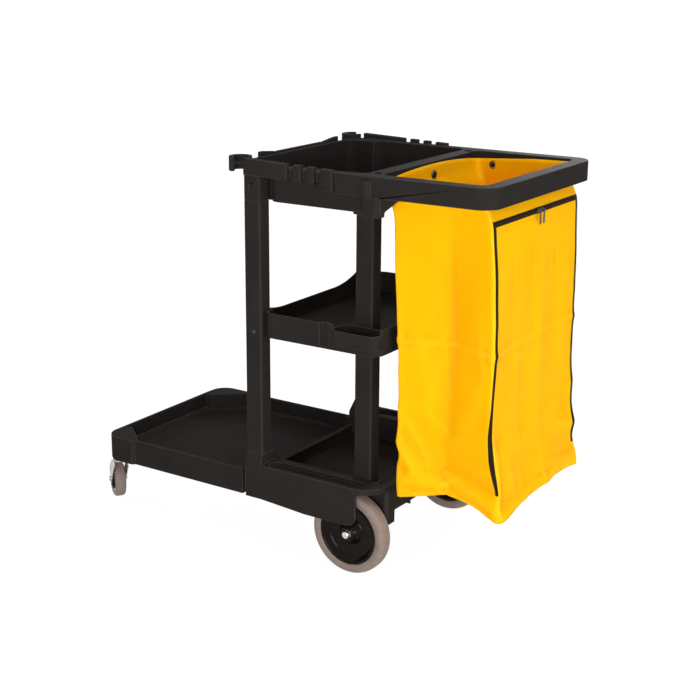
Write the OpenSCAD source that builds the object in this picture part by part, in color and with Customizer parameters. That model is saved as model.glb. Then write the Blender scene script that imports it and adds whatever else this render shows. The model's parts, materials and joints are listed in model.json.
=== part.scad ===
// Janitor cart: moulded base, posts, shelf and top tray with a handle that carries a zipped bag.
// The origin is on the floor under the middle of the cart, +X towards the handle, +Z up.
// Places along the cart are measured from its front line, a little ahead of the deck.

/* [Overall] */
// Length from the front line to the end of the handle
overall_l = 1168; // [1140:1:1240]
// Width over the base skirts
overall_w = 552; // [540:1:600]
// Height of the tool blocks at the front of the tray
overall_h = 983; // [950:1:1040]
// Wall thickness of the mouldings
wall = 4; // [3:0.5:5]

/* [Front deck] */
// Front edge of the deck behind the front line
deck_x = 28; // [20:1:40]
// Length of the deck
deck_l = 460; // [420:1:490]
// Width of the deck over its caster corners
deck_w = 512; // [480:1:520]
// How far the deck's sides lie inside the caster corners
deck_set = 7; // [4:1:10]
// Underside of the deck above the floor
deck_z = 128; // [122:1:134]
// Height of the deck's wall
deck_h = 68; // [50:1:80]
// Height of the deck's floor above its underside
deck_floor_h = 22; // [18:1:30]
// Radius of the deck's front corners
deck_r = 45; // [30:1:60]
// Length of a caster corner along the cart
boss_l = 105; // [95:1:120]
// Width of a caster corner across the cart
boss_w = 84; // [76:1:100]
// Width of the deck's rim
deck_rim = 8; // [5:1:12]
// Width and height of the step round the deck's floor
cove = 6; // [4:1:8]

/* [Base] */
// Length of the recess between the deck and the base
neck_l = 30; // [20:1:40]
// Depth of that recess on each side
neck_inset = 18; // [10:1:30]
// Length of the base behind the deck
main_l = 375; // [370:1:380]
// Top of the base rim above the floor
rim_z = 228; // [226:1:240]
// Thickness of the rim over the wheels
rim_t = 14; // [10:1:16]
// Width of each side rim
side_rim_w = 71; // [68:1:78]
// Top of the bottom shelf above the floor
floor_z = 165; // [155:1:180]
// Lower edge of the skirt at the front
skirt_z = 139; // [132:1:142]
// Drop of the skirt beside the wheel
skirt_drop = 9; // [4:1:12]
// Radius of the rear corners
corner_r = 65; // [50:1:70]
// Width of the tool trough in each side rim
trough_w = 38; // [28:1:44]
// Depth of the tool trough
trough_d = 9; // [5:1:10]
// Height of the joint where a front post enters the base
socket_z = 254; // [244:1:270]
// Wall of the post sockets
socket_wall = 4.5; // [4:0.5:6]
// Length of the socket block towards the middle
socket_in = 33; // [20:1:40]

/* [Posts] */
// Post size along the cart
post_x = 47.5; // [42:0.5:56]
// Post size across the cart
post_y = 40; // [34:1:44]
// Wall of the posts
post_wall = 3; // [2:0.5:4]
// Radius of the posts' edges
post_r = 5; // [3:0.5:8]
// Inset of the front posts from the base skirt
post_inset = 8; // [6:0.5:12]
// Front face of the rear posts ahead of the base's rear edge
rear_post_back = 101.5; // [96:0.5:120]
// Clearance round a post in its socket
post_fit = 0.3; // [0.1:0.1:0.6]
// Depth of a front post in the top tray
post_top_in = 52; // [40:1:60]

/* [Middle shelf] */
// Underside of the middle shelf above the floor
shelf_z = 555; // [500:1:590]
// Height of the shelf's walls
shelf_h = 62; // [50:1:70]
// Width of the middle shelf
shelf_w = 530; // [510:1:536]
// How far the shelf ends ahead of the base's rear edge
shelf_back = 1; // [0:0.5:10]
// Radius of the shelf's corners
shelf_r = 30; // [20:1:36]
// Depth of the scoop in the front wall
scoop_d = 22; // [10:1:30]
// Half the flat length of the scoop
scoop_flat = 110; // [90:1:130]
// Length of the corner compartments
pocket_l = 130; // [120:1:150]
// How far a compartment stands out past the shelf's side
pocket_out = 10; // [4:1:12]
// Height of a compartment
pocket_h = 35; // [28:1:40]

/* [Top tray] */
// Depth of the tub below the top of the handle
tub_h = 89; // [76:1:100]
// Width of the tub
tub_w = 480; // [460:1:490]
// How far the tub ends ahead of the base's rear edge
tub_back = 55; // [50:1:60]
// How far the tray reaches ahead of the front posts
tray_reach = 30; // [26:1:36]
// Radius of the tub's corners
tub_r = 28; // [20:1:40]
// Drop from the tool blocks to the top of the handle
handle_drop = 13; // [10:1:16]
// Fall of the tool blocks from the front to the handle's band
block_fall = 8; // [4:1:9]
// Height of the handle's band
band_h = 48; // [40:1:56]
// Width over the handle
handle_w = 524; // [516:1:530]
// Width of the handle's top
handle_t = 36; // [32:1:38]
// Outer radius of the handle's corners
handle_r = 45; // [40:1:60]
// Width of the crossbar between the tub and the bag
crossbar_w = 32; // [26:1:34]
// How far the tool blocks stand out from the handle's side
block_out = 9; // [6:1:12]
// Height of the tool blocks
block_h = 39; // [34:1:42]
// Length of the front tool block
block_l = 126; // [116:1:136]
// Length of the long tool finger
finger_l = 23; // [18:1:28]
// Length of the short tool finger
short_finger_l = 20; // [16:1:24]
// Gap between tool fingers
finger_gap = 16; // [12:1:18]
// Length of the rear tool block
rear_block_l = 34; // [28:1:40]
// Radius of a mop handle held by the front notches
notch_r = 18; // [14:0.5:20]
// Thickness of the notch hooks
hook_t = 10; // [8:1:12]
// Length of the collars along the handle
collar_l = 54; // [44:1:56]
// Height of the collars below the handle's band
collar_h = 44; // [36:1:60]

/* [Rear wheels] */
// Radius of the rear wheels
wheel_r = 101.6; // [98:0.1:103]
// Width of the tyres
tyre_w = 40; // [34:1:44]
// Thickness of the tyres
tyre_t = 23; // [18:1:32]
// Radius of the tyres' shoulders
tyre_round = 12; // [8:1:15]
// Rear axle ahead of the base's rear edge
wheel_back = 83; // [76:1:88]
// Gap between a skirt's inner face and the tyre
wheel_gap = 12; // [10:1:14]
// Radius of the axle
axle_r = 6.35; // [5:0.05:7]
// Radius of the wheel bushings
bushing_r = 10; // [8.5:0.1:12]
// Running clearance of a wheel on its axle
run_fit = 0.05; // [0.02:0.01:0.1]
// Radius of the axle caps
cap_r = 10; // [8:0.5:12]

/* [Casters] */
// Radius of the caster wheels
caster_r = 50; // [46:0.5:52]
// Width of the caster treads
caster_w = 30; // [24:1:32]
// Thickness of the caster treads
caster_tread_t = 12; // [8:1:16]
// Caster pivot behind the front line
caster_x = 52; // [46:1:60]
// Caster pivot in from the deck's side
caster_inset = 32; // [28:1:40]
// Distance from the pivot to the caster's axle
caster_trail = 42; // [34:1:46]
// Direction of the trailing wheels at rest, in degrees from +X
caster_turn = 143; // [0:1:359]
// Radius of the caster stems
stem_r = 5.5; // [4.5:0.1:6.5]
// Radius of the caster crowns
crown_r = 24; // [20:1:26]
// Thickness of the fork plates
fork_t = 3; // [2:0.5:4]

/* [Bag] */
// Gap between the base and the bag
bag_gap = 5; // [3:1:9]
// How far the bag's end face lies inside the end of the handle
bag_set = 18; // [14:1:40]
// Width of the bag
bag_w = 440; // [400:1:444]
// Bottom of the bag above the floor
bag_z = 205; // [150:1:260]
// Thickness of the bag's wall
bag_t = 2.5; // [2:0.5:4]
// Radius of the bag's upright edges
bag_r = 22; // [14:1:30]
// Height of the bag's mouth inside the handle
mouth_h = 36; // [34:1:38]
// Gap between the bag's mouth and the handle
mouth_gap = 5; // [4:0.5:7]
// Height of the hem
hem_h = 14; // [10:1:18]
// How far the bag's foot leans out from plumb
bag_lean = 28; // [10:1:34]
// Depth of the folds in the bag's sides, where they are deepest
fold_d = 56; // [30:1:70]
// Depth of those folds at the bag's foot
fold_foot = 24; // [10:1:40]
// Height of the deepest fold above the bag's bottom
fold_h = 385; // [300:5:450]
// Distance of the folds from the bag's end face
fold_in = 109; // [90:1:130]
// Radius of a hook peg
peg_r = 3.5; // [2.5:0.5:4.5]

/* [Zip] */
// Top run of the zip below the handle's band
zip_drop = 38; // [30:1:50]
// Distance of the upright runs from the bag's sides
zip_inset = 16; // [14:1:24]
// Lower end of the upright runs above the bag's bottom
zip_end = 45; // [30:1:80]
// Width of the zip tape
tape_w = 18; // [14:1:24]
// Thickness of the zip tape
tape_t = 1.5; // [1:0.1:2]
// Width of the zip chain
chain_w = 6; // [4:0.5:8]
// Thickness of the zip chain
chain_t = 1.6; // [1:0.1:2.5]
// Length of a slider
slider_l = 14; // [10:1:18]
// Length of a pull
pull_l = 30; // [20:1:40]

/* [Hidden] */
$fn = 48;

plastic = [0.13, 0.13, 0.12];
steel = [0.72, 0.72, 0.70];
tread = [0.52, 0.49, 0.44];
vinyl = [1.0, 0.78, 0.02];
black = [0.05, 0.05, 0.05];

// Overlap given to cuts and to parts of one moulding
e = 1;
// Play between pieces that only stand side by side
play = 0.5;

half_w = overall_w / 2;
deck_end = deck_x + deck_l;
main_x = deck_end + neck_l;
main_end = main_x + main_l;
front_post_x = main_x;
// Growth from a post's own section to the hole for its drawn-in end
tenon_fit = post_fit - socket_wall;
socket_end = main_x + post_x;
rear_post_x = main_end - rear_post_back;
wheel_x = main_end - wheel_back;
post_out = half_w - post_inset;
rim_in = half_w - side_rim_w;
rear_post_out = rim_in - post_fit;
roof_z = rim_z - rim_t;
deck_top = deck_z + deck_h;
deck_floor_z = deck_z + deck_floor_h;
well_x = wheel_x - wheel_r - wheel_gap;
well_z = skirt_z - skirt_drop;
skirt_end = wheel_x + 32;
skirt_r = 25;
base_socket_floor = skirt_z + 10;
handle_z = overall_h - handle_drop;
band_z = handle_z - band_h;
block_z = overall_h - block_h;
rear_drop = 11;
tub_z = handle_z - tub_h;
tub_end = main_end - tub_back;
tray_front = main_x - tray_reach;
handle_half = handle_w / 2;
block_half = handle_half + block_out;
block_wall = block_out + wall;
top_socket_z = tub_z + 2;
band_x = front_post_x + block_l + finger_l + short_finger_l + rear_block_l + 3 * finger_gap + 3;
crossbar_end = tub_end + crossbar_w;
mouth_r = 20;
rear_head_h = 12;
shelf_half = shelf_w / 2;
shelf_top = shelf_z + shelf_h;
shelf_end = main_end - shelf_back;
pocket_z = shelf_z + 16;
shelf_x = front_post_x + post_x + play;
tongue_half = post_out - post_y - play;
tongue_in = 4;
screw_z = shelf_z + 2 * wall + 1;
screw_r = 2.5;
dimple_r = 7;
dimple_d = 4;
snap_r = 6;
snap_in = 1.5;
ring_r = notch_r + hook_t;
notch_x = tray_front + 4;
notch_y = block_half - ring_r;
tyre_y = half_w - wall - wheel_gap - tyre_w / 2;
hub_out = tyre_y + tyre_w / 2 + 2;
ear_out = rim_in + wall;
washer_t = 2.5;
hub_in = ear_out + washer_t + run_fit * 4;
axle_end = hub_out + run_fit * 4 + 6;
caster_y = deck_w / 2 - caster_inset;
caster_round = 9;
caster_bolt_r = 4;
sleeve_r = stem_r + 3;
sleeve_h = 40;
// The casters trail past the deck at rest
caster_reach = caster_round + (caster_r - caster_round) * abs(cos(caster_turn))
    + (caster_w / 2 - caster_round) * abs(sin(caster_turn));
caster_front = caster_x + caster_trail * cos(caster_turn) - caster_reach;
caster_side = caster_w / 2 + 3;
bag_half = bag_w / 2;
bag_x = main_end + bag_gap;
bag_end = overall_l - bag_set;
neck_top = handle_z - wall - 2;
neck_z = neck_top - mouth_h;
mouth_x = crossbar_end + mouth_gap;
mouth_end = overall_l - handle_t - mouth_gap;
mouth_half = handle_half - handle_t - mouth_gap;
hem_t = 1.5;
peg_z = neck_top - hem_h - 10;
peg_head_r = peg_r + 3;
bag_steps = 3;
grommet_r = peg_r + 8;
grommet_in = 47;
grommet_t = 1.2;
zip_z = band_z - zip_drop;
// The bag's end face is plumb above the zip's top run and leans out below it
lean_z = zip_z + tape_w / 2;
lean_slope = bag_lean / (lean_z - bag_z);
lean_angle = atan(lean_slope);
zip_reach = (tape_t + chain_t) * cos(lean_angle) + (lean_z - bag_z - zip_end) * sin(lean_angle);
// The middle of the cart lies between the casters and the foot of the zip or the handle
middle_x = (max(overall_l, bag_end + zip_reach) + min(0, caster_front)) / 2;
zip_half = bag_half - zip_inset;
slider_y = slider_l / 2 + 2;
// Clearance between pieces that move past each other
slide_fit = 0.3;
slider_w = 11;
slider_t = 5;
slider_x = bag_end + tape_t + chain_t + slide_fit + lean_slope * (lean_z - zip_z + slider_w / 2);
pull_w = 8;
pull_t = 1.6;
pull_pin_r = 1.2;
pull_x = slider_x + slider_t + 2.2;

// Moves children from the front line to the middle of the cart
module from_front() {
    translate([-middle_x, 0, 0])
        children();
}

// Draws children on the right, and mirrored on the left
module both_sides() {
    children();
    mirror([0, 1, 0])
        children();
}

// Draws children, made for the right, on the side that is asked for
module on_side(side) {
    if (side > 0)
        children();
    else
        mirror([0, 1, 0])
            children();
}

// A box given by its two corners
module block(low, high) {
    translate(low)
        cube(high - low);
}

// Rectangle from x = 0 to l with round corners at the front only
module front_rounded(l, w, r) {
    translate([r, -w / 2])
        square([l - r, w]);
    translate([0, r - w / 2])
        square([r + e, w - 2 * r]);
    for (side = [-1, 1])
        translate([r, side * (w / 2 - r)])
            circle(r);
}

// Rectangle from x = 0 to l with round corners at the rear only
module rear_rounded(l, w, r) {
    translate([l, 0])
        mirror([1, 0])
            front_rounded(l, w, r);
}

// Rectangle from x = 0 to l with all corners round
module all_rounded(l, w, r) {
    translate([r, -w / 2])
        square([l - 2 * r, w]);
    translate([0, r - w / 2])
        square([l, w - 2 * r]);
    for (x = [r, l - r], side = [-1, 1])
        translate([x, side * (w / 2 - r)])
            circle(r);
}

// Stands a flat outline, drawn in x and z, up as a plate from y0 to y1
module upright(y0, y1) {
    translate([0, y1, 0])
        rotate([90, 0, 0])
            linear_extrude(y1 - y0)
                children();
}

// Solid of a post, without its bore
module post_prism(x, out, z0, z1, grow = 0) {
    translate([x - grow, out - post_y / 2, z0])
        linear_extrude(z1 - z0)
            all_rounded(post_x + 2 * grow, post_y + 2 * grow, post_r);
}

// Outline of the deck's tray, drawn in by a margin and run on past its rear end
module deck_outline(inset, past = 0) {
    translate([deck_x + inset, 0])
        front_rounded(deck_l - inset + past, deck_w - 2 * deck_set - 2 * inset, deck_r - inset);
}

// Outline of the right front corner that holds a caster
module caster_corner() {
    side = deck_w / 2;
    rear = deck_x + boss_l;
    flat_l = 26;
    slant = 28;
    bevel = 10;
    polygon([[deck_x, side - deck_r], [deck_x, side - boss_w], [deck_x + flat_l, side - boss_w],
        [rear - slant, side - boss_w / 2], [rear, side - slant / 2], [rear, side - bevel],
        [rear - bevel, side], [deck_x + deck_r, side]]);
    translate([deck_x + deck_r, side - deck_r])
        intersection() {
            circle(deck_r);
            translate([-deck_r, 0])
                square(deck_r);
        }
}

// Front deck with thin walls, broad caster corners, a stepped floor and ribs under it
module deck_tray() {
    translate([0, 0, deck_z])
        linear_extrude(deck_h) {
            difference() {
                deck_outline(0);
                deck_outline(deck_rim, e);
            }
            both_sides()
                caster_corner();
        }
    translate([0, 0, deck_floor_z - wall])
        linear_extrude(wall)
            deck_outline(e);
    translate([0, 0, deck_floor_z - e])
        linear_extrude(cove + e)
            difference() {
                deck_outline(deck_rim - e);
                deck_outline(deck_rim + cove, e);
            }
    rib_z = deck_z + 2;
    rib_half = deck_w / 2 - deck_set - e;
    for (i = [1 : 3])
        translate([deck_x + i * deck_l / 4, 0, 0])
            block([0, -rib_half, rib_z], [wall, rib_half, deck_floor_z - e]);
    block([deck_x + deck_rim, -wall / 2, rib_z], [deck_end, wall / 2, deck_floor_z - e]);
}

// Recessed neck between the deck and the base, with the ridge that parts their floors
module neck() {
    inside = deck_w / 2 - neck_inset;
    neck_z0 = deck_z + 6;
    ridge_h = 40;
    block([deck_end - e, -inside, deck_floor_z - wall], [main_x + post_x / 2, inside, deck_floor_z]);
    both_sides()
        block([deck_end - e, inside - wall, neck_z0], [main_x + e, inside, deck_top]);
    both_sides()
        block([deck_end - wall, inside - wall, deck_z], [deck_end, deck_w / 2 - deck_set - e, deck_top]);
    block([main_x, -rim_in, deck_floor_z - wall], [main_x + 3 * wall, rim_in, deck_floor_z + ridge_h]);
}

// Bottom shelf with its rear wall and ribs
module bottom_shelf() {
    rear_wall_z = floor_z - 10;
    block([main_x + e, -rim_in - e, floor_z - wall], [main_end - e, rim_in + e, floor_z]);
    block([main_end - wall, -rim_in - e, rear_wall_z], [main_end, rim_in + e, rim_z]);
    block([main_end - 4 * wall, -rim_in - e, rim_z - 2 * wall], [main_end - e, rim_in + e, rim_z]);
    rib_z = floor_z - 5 * wall;
    rib_pitch = 40;
    for (i = [1 : 3])
        translate([socket_end + i * rib_pitch, 0, 0])
            block([0, -rim_in, rib_z], [wall, rim_in, floor_z - e]);
    for (y = [-rim_in / 2, 0, rim_in / 2])
        block([main_x + wall, y - wall / 2, rib_z], [main_end - e, y + wall / 2, floor_z - e]);
}

// Right side rim: the skirt, the wheel well and the round rear corner
module side_rim() {
    leg_r = 9;
    leg_w = 29;
    leg_y = ear_out - 2;
    leg_z = well_z - 5;
    inner_end = main_end - leg_r - e;
    intersection() {
        translate([main_x, 0, roof_z])
            linear_extrude(rim_t)
                rear_rounded(main_l, overall_w, corner_r);
        block([main_x, rim_in, roof_z], [main_end, half_w, rim_z]);
    }
    upright(half_w - wall, half_w) {
        polygon([[socket_end - e, skirt_z], [well_x, well_z], [skirt_end - skirt_r, well_z],
            [skirt_end, well_z + skirt_r], [skirt_end, roof_z + e], [socket_end - e, roof_z + e]]);
        translate([skirt_end - skirt_r, well_z + skirt_r])
            circle(skirt_r);
    }
    upright(rim_in, ear_out)
        polygon([[socket_end - e, floor_z - wall], [well_x, floor_z - wall], [well_x, well_z],
            [inner_end, well_z], [inner_end, roof_z + e], [socket_end - e, roof_z + e]]);
    // Leg behind the wheel, with a round outer edge
    translate([main_end - leg_r, leg_y, leg_z])
        cylinder(h = roof_z - leg_z + e, r = leg_r);
    block([main_end - leg_r, leg_y - leg_w, leg_z], [main_end, leg_y, roof_z + e]);
    block([well_x - wall, rim_in + e, skirt_z], [well_x, half_w - e, roof_z + e]);
}

// Cut that leaves the tool trough in the right rim
module trough() {
    trough_x = socket_end + 12;
    trough_y = half_w - 11 - trough_w / 2;
    trough_l = skirt_end - trough_x;
    translate([trough_x, trough_y, rim_z - trough_d])
        linear_extrude(trough_d + e)
            all_rounded(trough_l, trough_w, trough_w / 2 - e);
}

// Block at the right front post, sloping down towards the middle
module front_socket() {
    inner = post_out - post_y;
    translate([main_x, 0, 0])
        rotate([90, 0, 90])
            linear_extrude(post_x)
                polygon([[half_w, skirt_z], [half_w, rim_z], [post_out, socket_z], [inner - post_r, socket_z],
                    [inner - socket_in, rim_z], [inner - socket_in, skirt_z]]);
}

// Collar round the foot of the right rear post
module rear_socket() {
    collar_z = floor_z + 50;
    block([rear_post_x - socket_wall, rear_post_out - post_y - socket_wall, floor_z - e],
        [rear_post_x + post_x + socket_wall, rim_in + e, collar_z]);
}

// Ear that carries the axle on the right
module axle_ear() {
    ear_r = 22;
    upright(rim_in - 10, ear_out) {
        translate([wheel_x - ear_r, wheel_r])
            square([2 * ear_r, floor_z - wheel_r - e]);
        translate([wheel_x, wheel_r])
            circle(ear_r);
    }
}

module base_platform() {
    axle_bore_l = 40;
    color(plastic)
        from_front()
            difference() {
                union() {
                    deck_tray();
                    neck();
                    bottom_shelf();
                    both_sides() {
                        side_rim();
                        front_socket();
                        rear_socket();
                        axle_ear();
                    }
                }
                both_sides() {
                    trough();
                    post_prism(front_post_x, post_out, base_socket_floor, socket_z + e, tenon_fit);
                    post_prism(rear_post_x, rear_post_out, floor_z, rim_z + e, post_fit);
                    translate([wheel_x, rim_in - axle_bore_l / 2, wheel_r])
                        rotate([-90, 0, 0])
                            cylinder(h = axle_bore_l, r = axle_r + run_fit);
                    translate([caster_x, caster_y, deck_z - e])
                        cylinder(h = sleeve_h + e, r = sleeve_r);
                }
            }
}

// Box tube of a post from z0 to z1, drawn in over its foot and head to enter the sockets
module post(x, out, z0, z1, foot = 0, head = 0) {
    difference() {
        union() {
            post_prism(x, out, z0 + foot, z1 - head);
            post_prism(x, out, z0, z1, -socket_wall);
        }
        post_prism(x, out, z0 - e, z1 + e, -socket_wall - post_wall);
    }
}

// Right front post with its screw dimple and the snap tab that shows in the top socket
module front_post(side) {
    top = tub_z + post_top_in;
    foot = socket_z - base_socket_floor + post_fit;
    head = top - top_socket_z + post_fit;
    color(plastic)
        from_front()
            on_side(side) {
                difference() {
                    post(front_post_x, post_out, base_socket_floor, top, foot, head);
                    translate([front_post_x + post_x / 2, post_out + e, screw_z])
                        rotate([90, 0, 0])
                            cylinder(h = e + dimple_d, r = dimple_r);
                    translate([front_post_x + post_x / 2, post_out + e, screw_z])
                        rotate([90, 0, 0])
                            cylinder(h = post_y + 2 * e, r = screw_r);
                }
                upright(post_out - socket_wall - e, post_out - snap_in)
                    snap_outline(0);
            }
}

module front_post_left() {
    front_post(-1);
}

module front_post_right() {
    front_post(1);
}

module rear_post(side) {
    color(plastic)
        from_front()
            on_side(side)
                post(rear_post_x, rear_post_out, floor_z, tub_z);
}

module rear_post_left() {
    rear_post(-1);
}

module rear_post_right() {
    rear_post(1);
}

// Arched outline of the snap tab in x and z, grown for its window
module snap_outline(grow) {
    snap_h = 14;
    snap_drop = 12;
    translate([front_post_x + post_x / 2, tub_z + post_top_in - snap_drop]) {
        circle(snap_r + grow);
        translate([-snap_r - grow, -snap_h - grow])
            square([2 * (snap_r + grow), snap_h + grow]);
    }
}

// Outline of the shelf's tray, drawn in by a margin
module shelf_outline(inset) {
    translate([shelf_x + inset, 0])
        all_rounded(shelf_end - shelf_x - 2 * inset, shelf_w - 2 * inset, shelf_r - inset);
    translate([front_post_x + tongue_in + inset, inset - tongue_half])
        square([shelf_x - front_post_x, 2 * tongue_half - 2 * inset]);
}

// Outline of a right corner compartment, drawn in by a margin
module pocket_outline(inset) {
    pocket_r = 22;
    l = pocket_l - 2 * inset;
    w = shelf_half + pocket_out - rim_in - 2 * inset;
    translate([shelf_end - pocket_l + inset, rim_in + w / 2 + inset])
        all_rounded(l, w, pocket_r - inset);
}

// Outline of the scoop in the front wall, drawn in y and z up from its flat bottom
module scoop_outline() {
    reach = tongue_half - 2 * wall - scoop_flat;
    scoop_r = (reach * reach + scoop_d * scoop_d) / (2 * scoop_d);
    intersection() {
        translate([-tongue_half + wall, 0])
            square([2 * (tongue_half - wall), scoop_d + e]);
        union() {
            translate([-scoop_flat, 0])
                square([2 * scoop_flat, 2 * scoop_d]);
            for (side = [-1, 1])
                translate([side * scoop_flat, scoop_r])
                    circle(scoop_r, $fn = 96);
        }
    }
}

// Tray with scooped front wall, corner compartments and holes for the rear posts
module middle_shelf() {
    recess_x = shelf_end - pocket_l - 28;
    recess_l = 22;
    recess_d = 9;
    color(plastic)
        from_front()
            difference() {
                union() {
                    translate([0, 0, shelf_z])
                        linear_extrude(shelf_h)
                            difference() {
                                shelf_outline(0);
                                shelf_outline(wall);
                            }
                    translate([0, 0, shelf_z + wall])
                        linear_extrude(wall)
                            shelf_outline(e);
                    both_sides() {
                        translate([0, 0, pocket_z])
                            linear_extrude(pocket_h)
                                difference() {
                                    pocket_outline(0);
                                    pocket_outline(wall);
                                }
                        translate([0, 0, pocket_z])
                            linear_extrude(wall)
                                pocket_outline(e);
                        // Thick stretch of wall for the recess ahead of the compartment
                        block([recess_x - wall, shelf_half - recess_d - wall, shelf_z + wall],
                            [recess_x + recess_l + wall, shelf_half - e, shelf_top]);
                    }
                }
                translate([front_post_x, 0, shelf_top - scoop_d])
                    rotate([90, 0, 90])
                        linear_extrude(tongue_in + 2 * wall)
                            scoop_outline();
                both_sides() {
                    // The compartment is open to the air above its own floor
                    translate([0, 0, pocket_z + wall])
                        linear_extrude(shelf_h)
                            pocket_outline(wall);
                    block([recess_x, shelf_half - recess_d, shelf_z + 2 * wall],
                        [recess_x + recess_l, shelf_half + e, shelf_top + e]);
                    post_prism(rear_post_x, rear_post_out, shelf_z - e, shelf_top + e, post_fit);
                    translate([front_post_x + post_x / 2, tongue_half + e, screw_z])
                        rotate([90, 0, 0])
                            cylinder(h = wall + 2 * e, r = screw_r);
                }
            }
}

// Screws that hold the shelf to the front posts
module shelf_screws() {
    head_h = 1.2;
    slot_w = 1;
    slot_d = 0.6;
    color(steel)
        from_front()
            both_sides()
                translate([front_post_x + post_x / 2, post_out - dimple_d, screw_z])
                    rotate([90, 0, 0]) {
                        difference() {
                            translate([0, 0, -head_h])
                                cylinder(h = head_h, r = 2 * screw_r);
                            for (turn = [0, 90])
                                rotate([0, 0, turn])
                                    translate([-screw_r, -slot_w / 2, -head_h - e])
                                        cube([2 * screw_r, slot_w, slot_d + e]);
                        }
                        cylinder(h = post_y + play + wall - dimple_d, r = screw_r);
                    }
}

// Outline of the tub: wide behind the posts and narrow between them, drawn in by a margin
module tub_outline(inset) {
    wide_x = socket_end + 3;
    narrow_x = tray_front + 6;
    narrow_l = wide_x + tub_r + 20 - narrow_x;
    narrow_w = 2 * (post_out - post_y - 6);
    translate([wide_x + inset, 0])
        all_rounded(tub_end - wide_x - 2 * inset, tub_w - 2 * inset, tub_r - inset);
    translate([narrow_x + inset, 0])
        all_rounded(narrow_l, narrow_w - 2 * inset, tub_r - inset);
}

// Outline of the U-shaped handle, drawn in by a margin
module handle_outline(inset) {
    translate([band_x, 0])
        rear_rounded(overall_l - band_x - inset, handle_w - 2 * inset, handle_r - inset);
}

// Space inside the handle where the bag's mouth hangs, grown by a margin
module mouth_outline(grow) {
    translate([crossbar_end - grow, 0])
        all_rounded(overall_l - crossbar_end - handle_t + 2 * grow, 2 * (handle_half - handle_t + grow),
            mouth_r + grow);
}

// Channel of the handle and the crossbar: top plate, outer band and inner lip
module handle_channel() {
    lip_h = 34;
    translate([0, 0, handle_z - wall])
        linear_extrude(wall)
            difference() {
                handle_outline(0);
                tub_outline(wall);
                mouth_outline(0);
            }
    translate([0, 0, band_z])
        linear_extrude(band_h)
            difference() {
                handle_outline(0);
                handle_outline(wall);
                translate([tray_front, -handle_half + wall])
                    square([crossbar_end - tray_front, handle_w - 2 * wall]);
            }
    translate([0, 0, handle_z - lip_h])
        linear_extrude(lip_h)
            difference() {
                mouth_outline(wall);
                mouth_outline(0);
            }
}

// Tub with its floor and walls, and the rim plate round it
module tub() {
    translate([0, 0, tub_z])
        linear_extrude(handle_z - tub_z)
            difference() {
                tub_outline(0);
                tub_outline(wall);
            }
    translate([0, 0, tub_z])
        linear_extrude(wall)
            tub_outline(e);
    translate([0, 0, handle_z - wall])
        linear_extrude(wall)
            difference() {
                translate([tray_front, -handle_half])
                    square([band_x + e - tray_front, handle_w]);
                tub_outline(wall);
            }
}

// Slanting slice between two heights, given at the front and lower by the blocks' fall at the band
module block_slice(low, high) {
    x0 = front_post_x - e;
    x1 = band_x + e;
    upright(0, half_w)
        polygon([[x0, low], [x1, low - block_fall], [x1, high - block_fall], [x0, high]]);
}

// Right tool blocks and fingers, from the front post to the handle's band
module tool_blocks() {
    stops = [block_l, finger_l, short_finger_l, rear_block_l];
    rear = len(stops) - 1;
    for (i = [0 : rear]) {
        before = [for (j = [0 : rear]) j < i ? stops[j] + finger_gap : 0];
        x = front_post_x + before * [1, 1, 1, 1];
        low = block_z - (i == rear ? rear_drop : 0);
        intersection() {
            translate([x, block_half - block_wall / 2 - wall / 2, tub_z])
                linear_extrude(overall_h - tub_z)
                    all_rounded(stops[i], block_wall + wall, 5);
            block_slice(low, overall_h);
        }
    }
    block([front_post_x, handle_half - 2 * wall, block_z], [band_x + e, handle_half - wall, handle_z - e]);
}

// Slot in the top of the right front tool block
module block_slot() {
    slot_d = 20;
    slot_in = 32;
    slot_w = 6;
    translate([front_post_x + slot_in, block_half - slot_w - 2, handle_z - slot_d])
        linear_extrude(slot_d + block_h)
            all_rounded(block_l - slot_in - 8, slot_w, slot_w / 2 - 0.5);
}

// Right hook of the mop-handle notch at the front corner, open towards the tool block
module notch_hook() {
    translate([notch_x, notch_y, block_z + wall])
        linear_extrude(overall_h - block_z - wall)
            difference() {
                circle(ring_r);
                polygon([[0, 0], [ring_r + e, 0], [ring_r + e, ring_r + e], [-5, ring_r + e]]);
            }
}

// Raised lip on the front edge of the tray, higher beside each notch
module front_lip() {
    lip_t = 8;
    low_half = 96;
    low_h = 7;
    block([tray_front, -low_half, handle_z - wall], [tray_front + lip_t, low_half, handle_z + low_h]);
    both_sides()
        translate([tray_front, 0, 0])
            rotate([90, 0, 90])
                linear_extrude(lip_t)
                    polygon([[low_half + 6, handle_z - wall], [low_half + 74, handle_z - wall],
                        [low_half + 74, overall_h], [low_half + 58, overall_h],
                        [low_half + 6, handle_z + low_h]]);
}

// Right collar under the handle, its rib on the band and the gusset behind it
module collar() {
    x = crossbar_end - 5;
    collar_w = 38;
    collar_out = 6;
    rib_r = 17;
    rib_x = x - 11;
    rib_top = handle_z - 6;
    rib_dome = 9;
    gusset_t = 6;
    translate([x - collar_l / 2, handle_half + collar_out - collar_w / 2, band_z - collar_h])
        linear_extrude(collar_h + e)
            all_rounded(collar_l, collar_w, 18);
    translate([rib_x, handle_half + collar_out - rib_r, band_z - e]) {
        cylinder(h = rib_top - rib_dome - band_z + e, r = rib_r);
        translate([0, 0, rib_top - rib_dome - band_z + e])
            cylinder(h = rib_dome, r1 = rib_r, r2 = rib_r - rib_dome);
    }
    upright(handle_half - wall - gusset_t, handle_half - wall)
        polygon([[x, band_z - collar_h + 8], [x + collar_l / 2, band_z - collar_h + 8],
            [x + collar_l / 2 + 46, band_z + e], [x, band_z + e]]);
}

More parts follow.
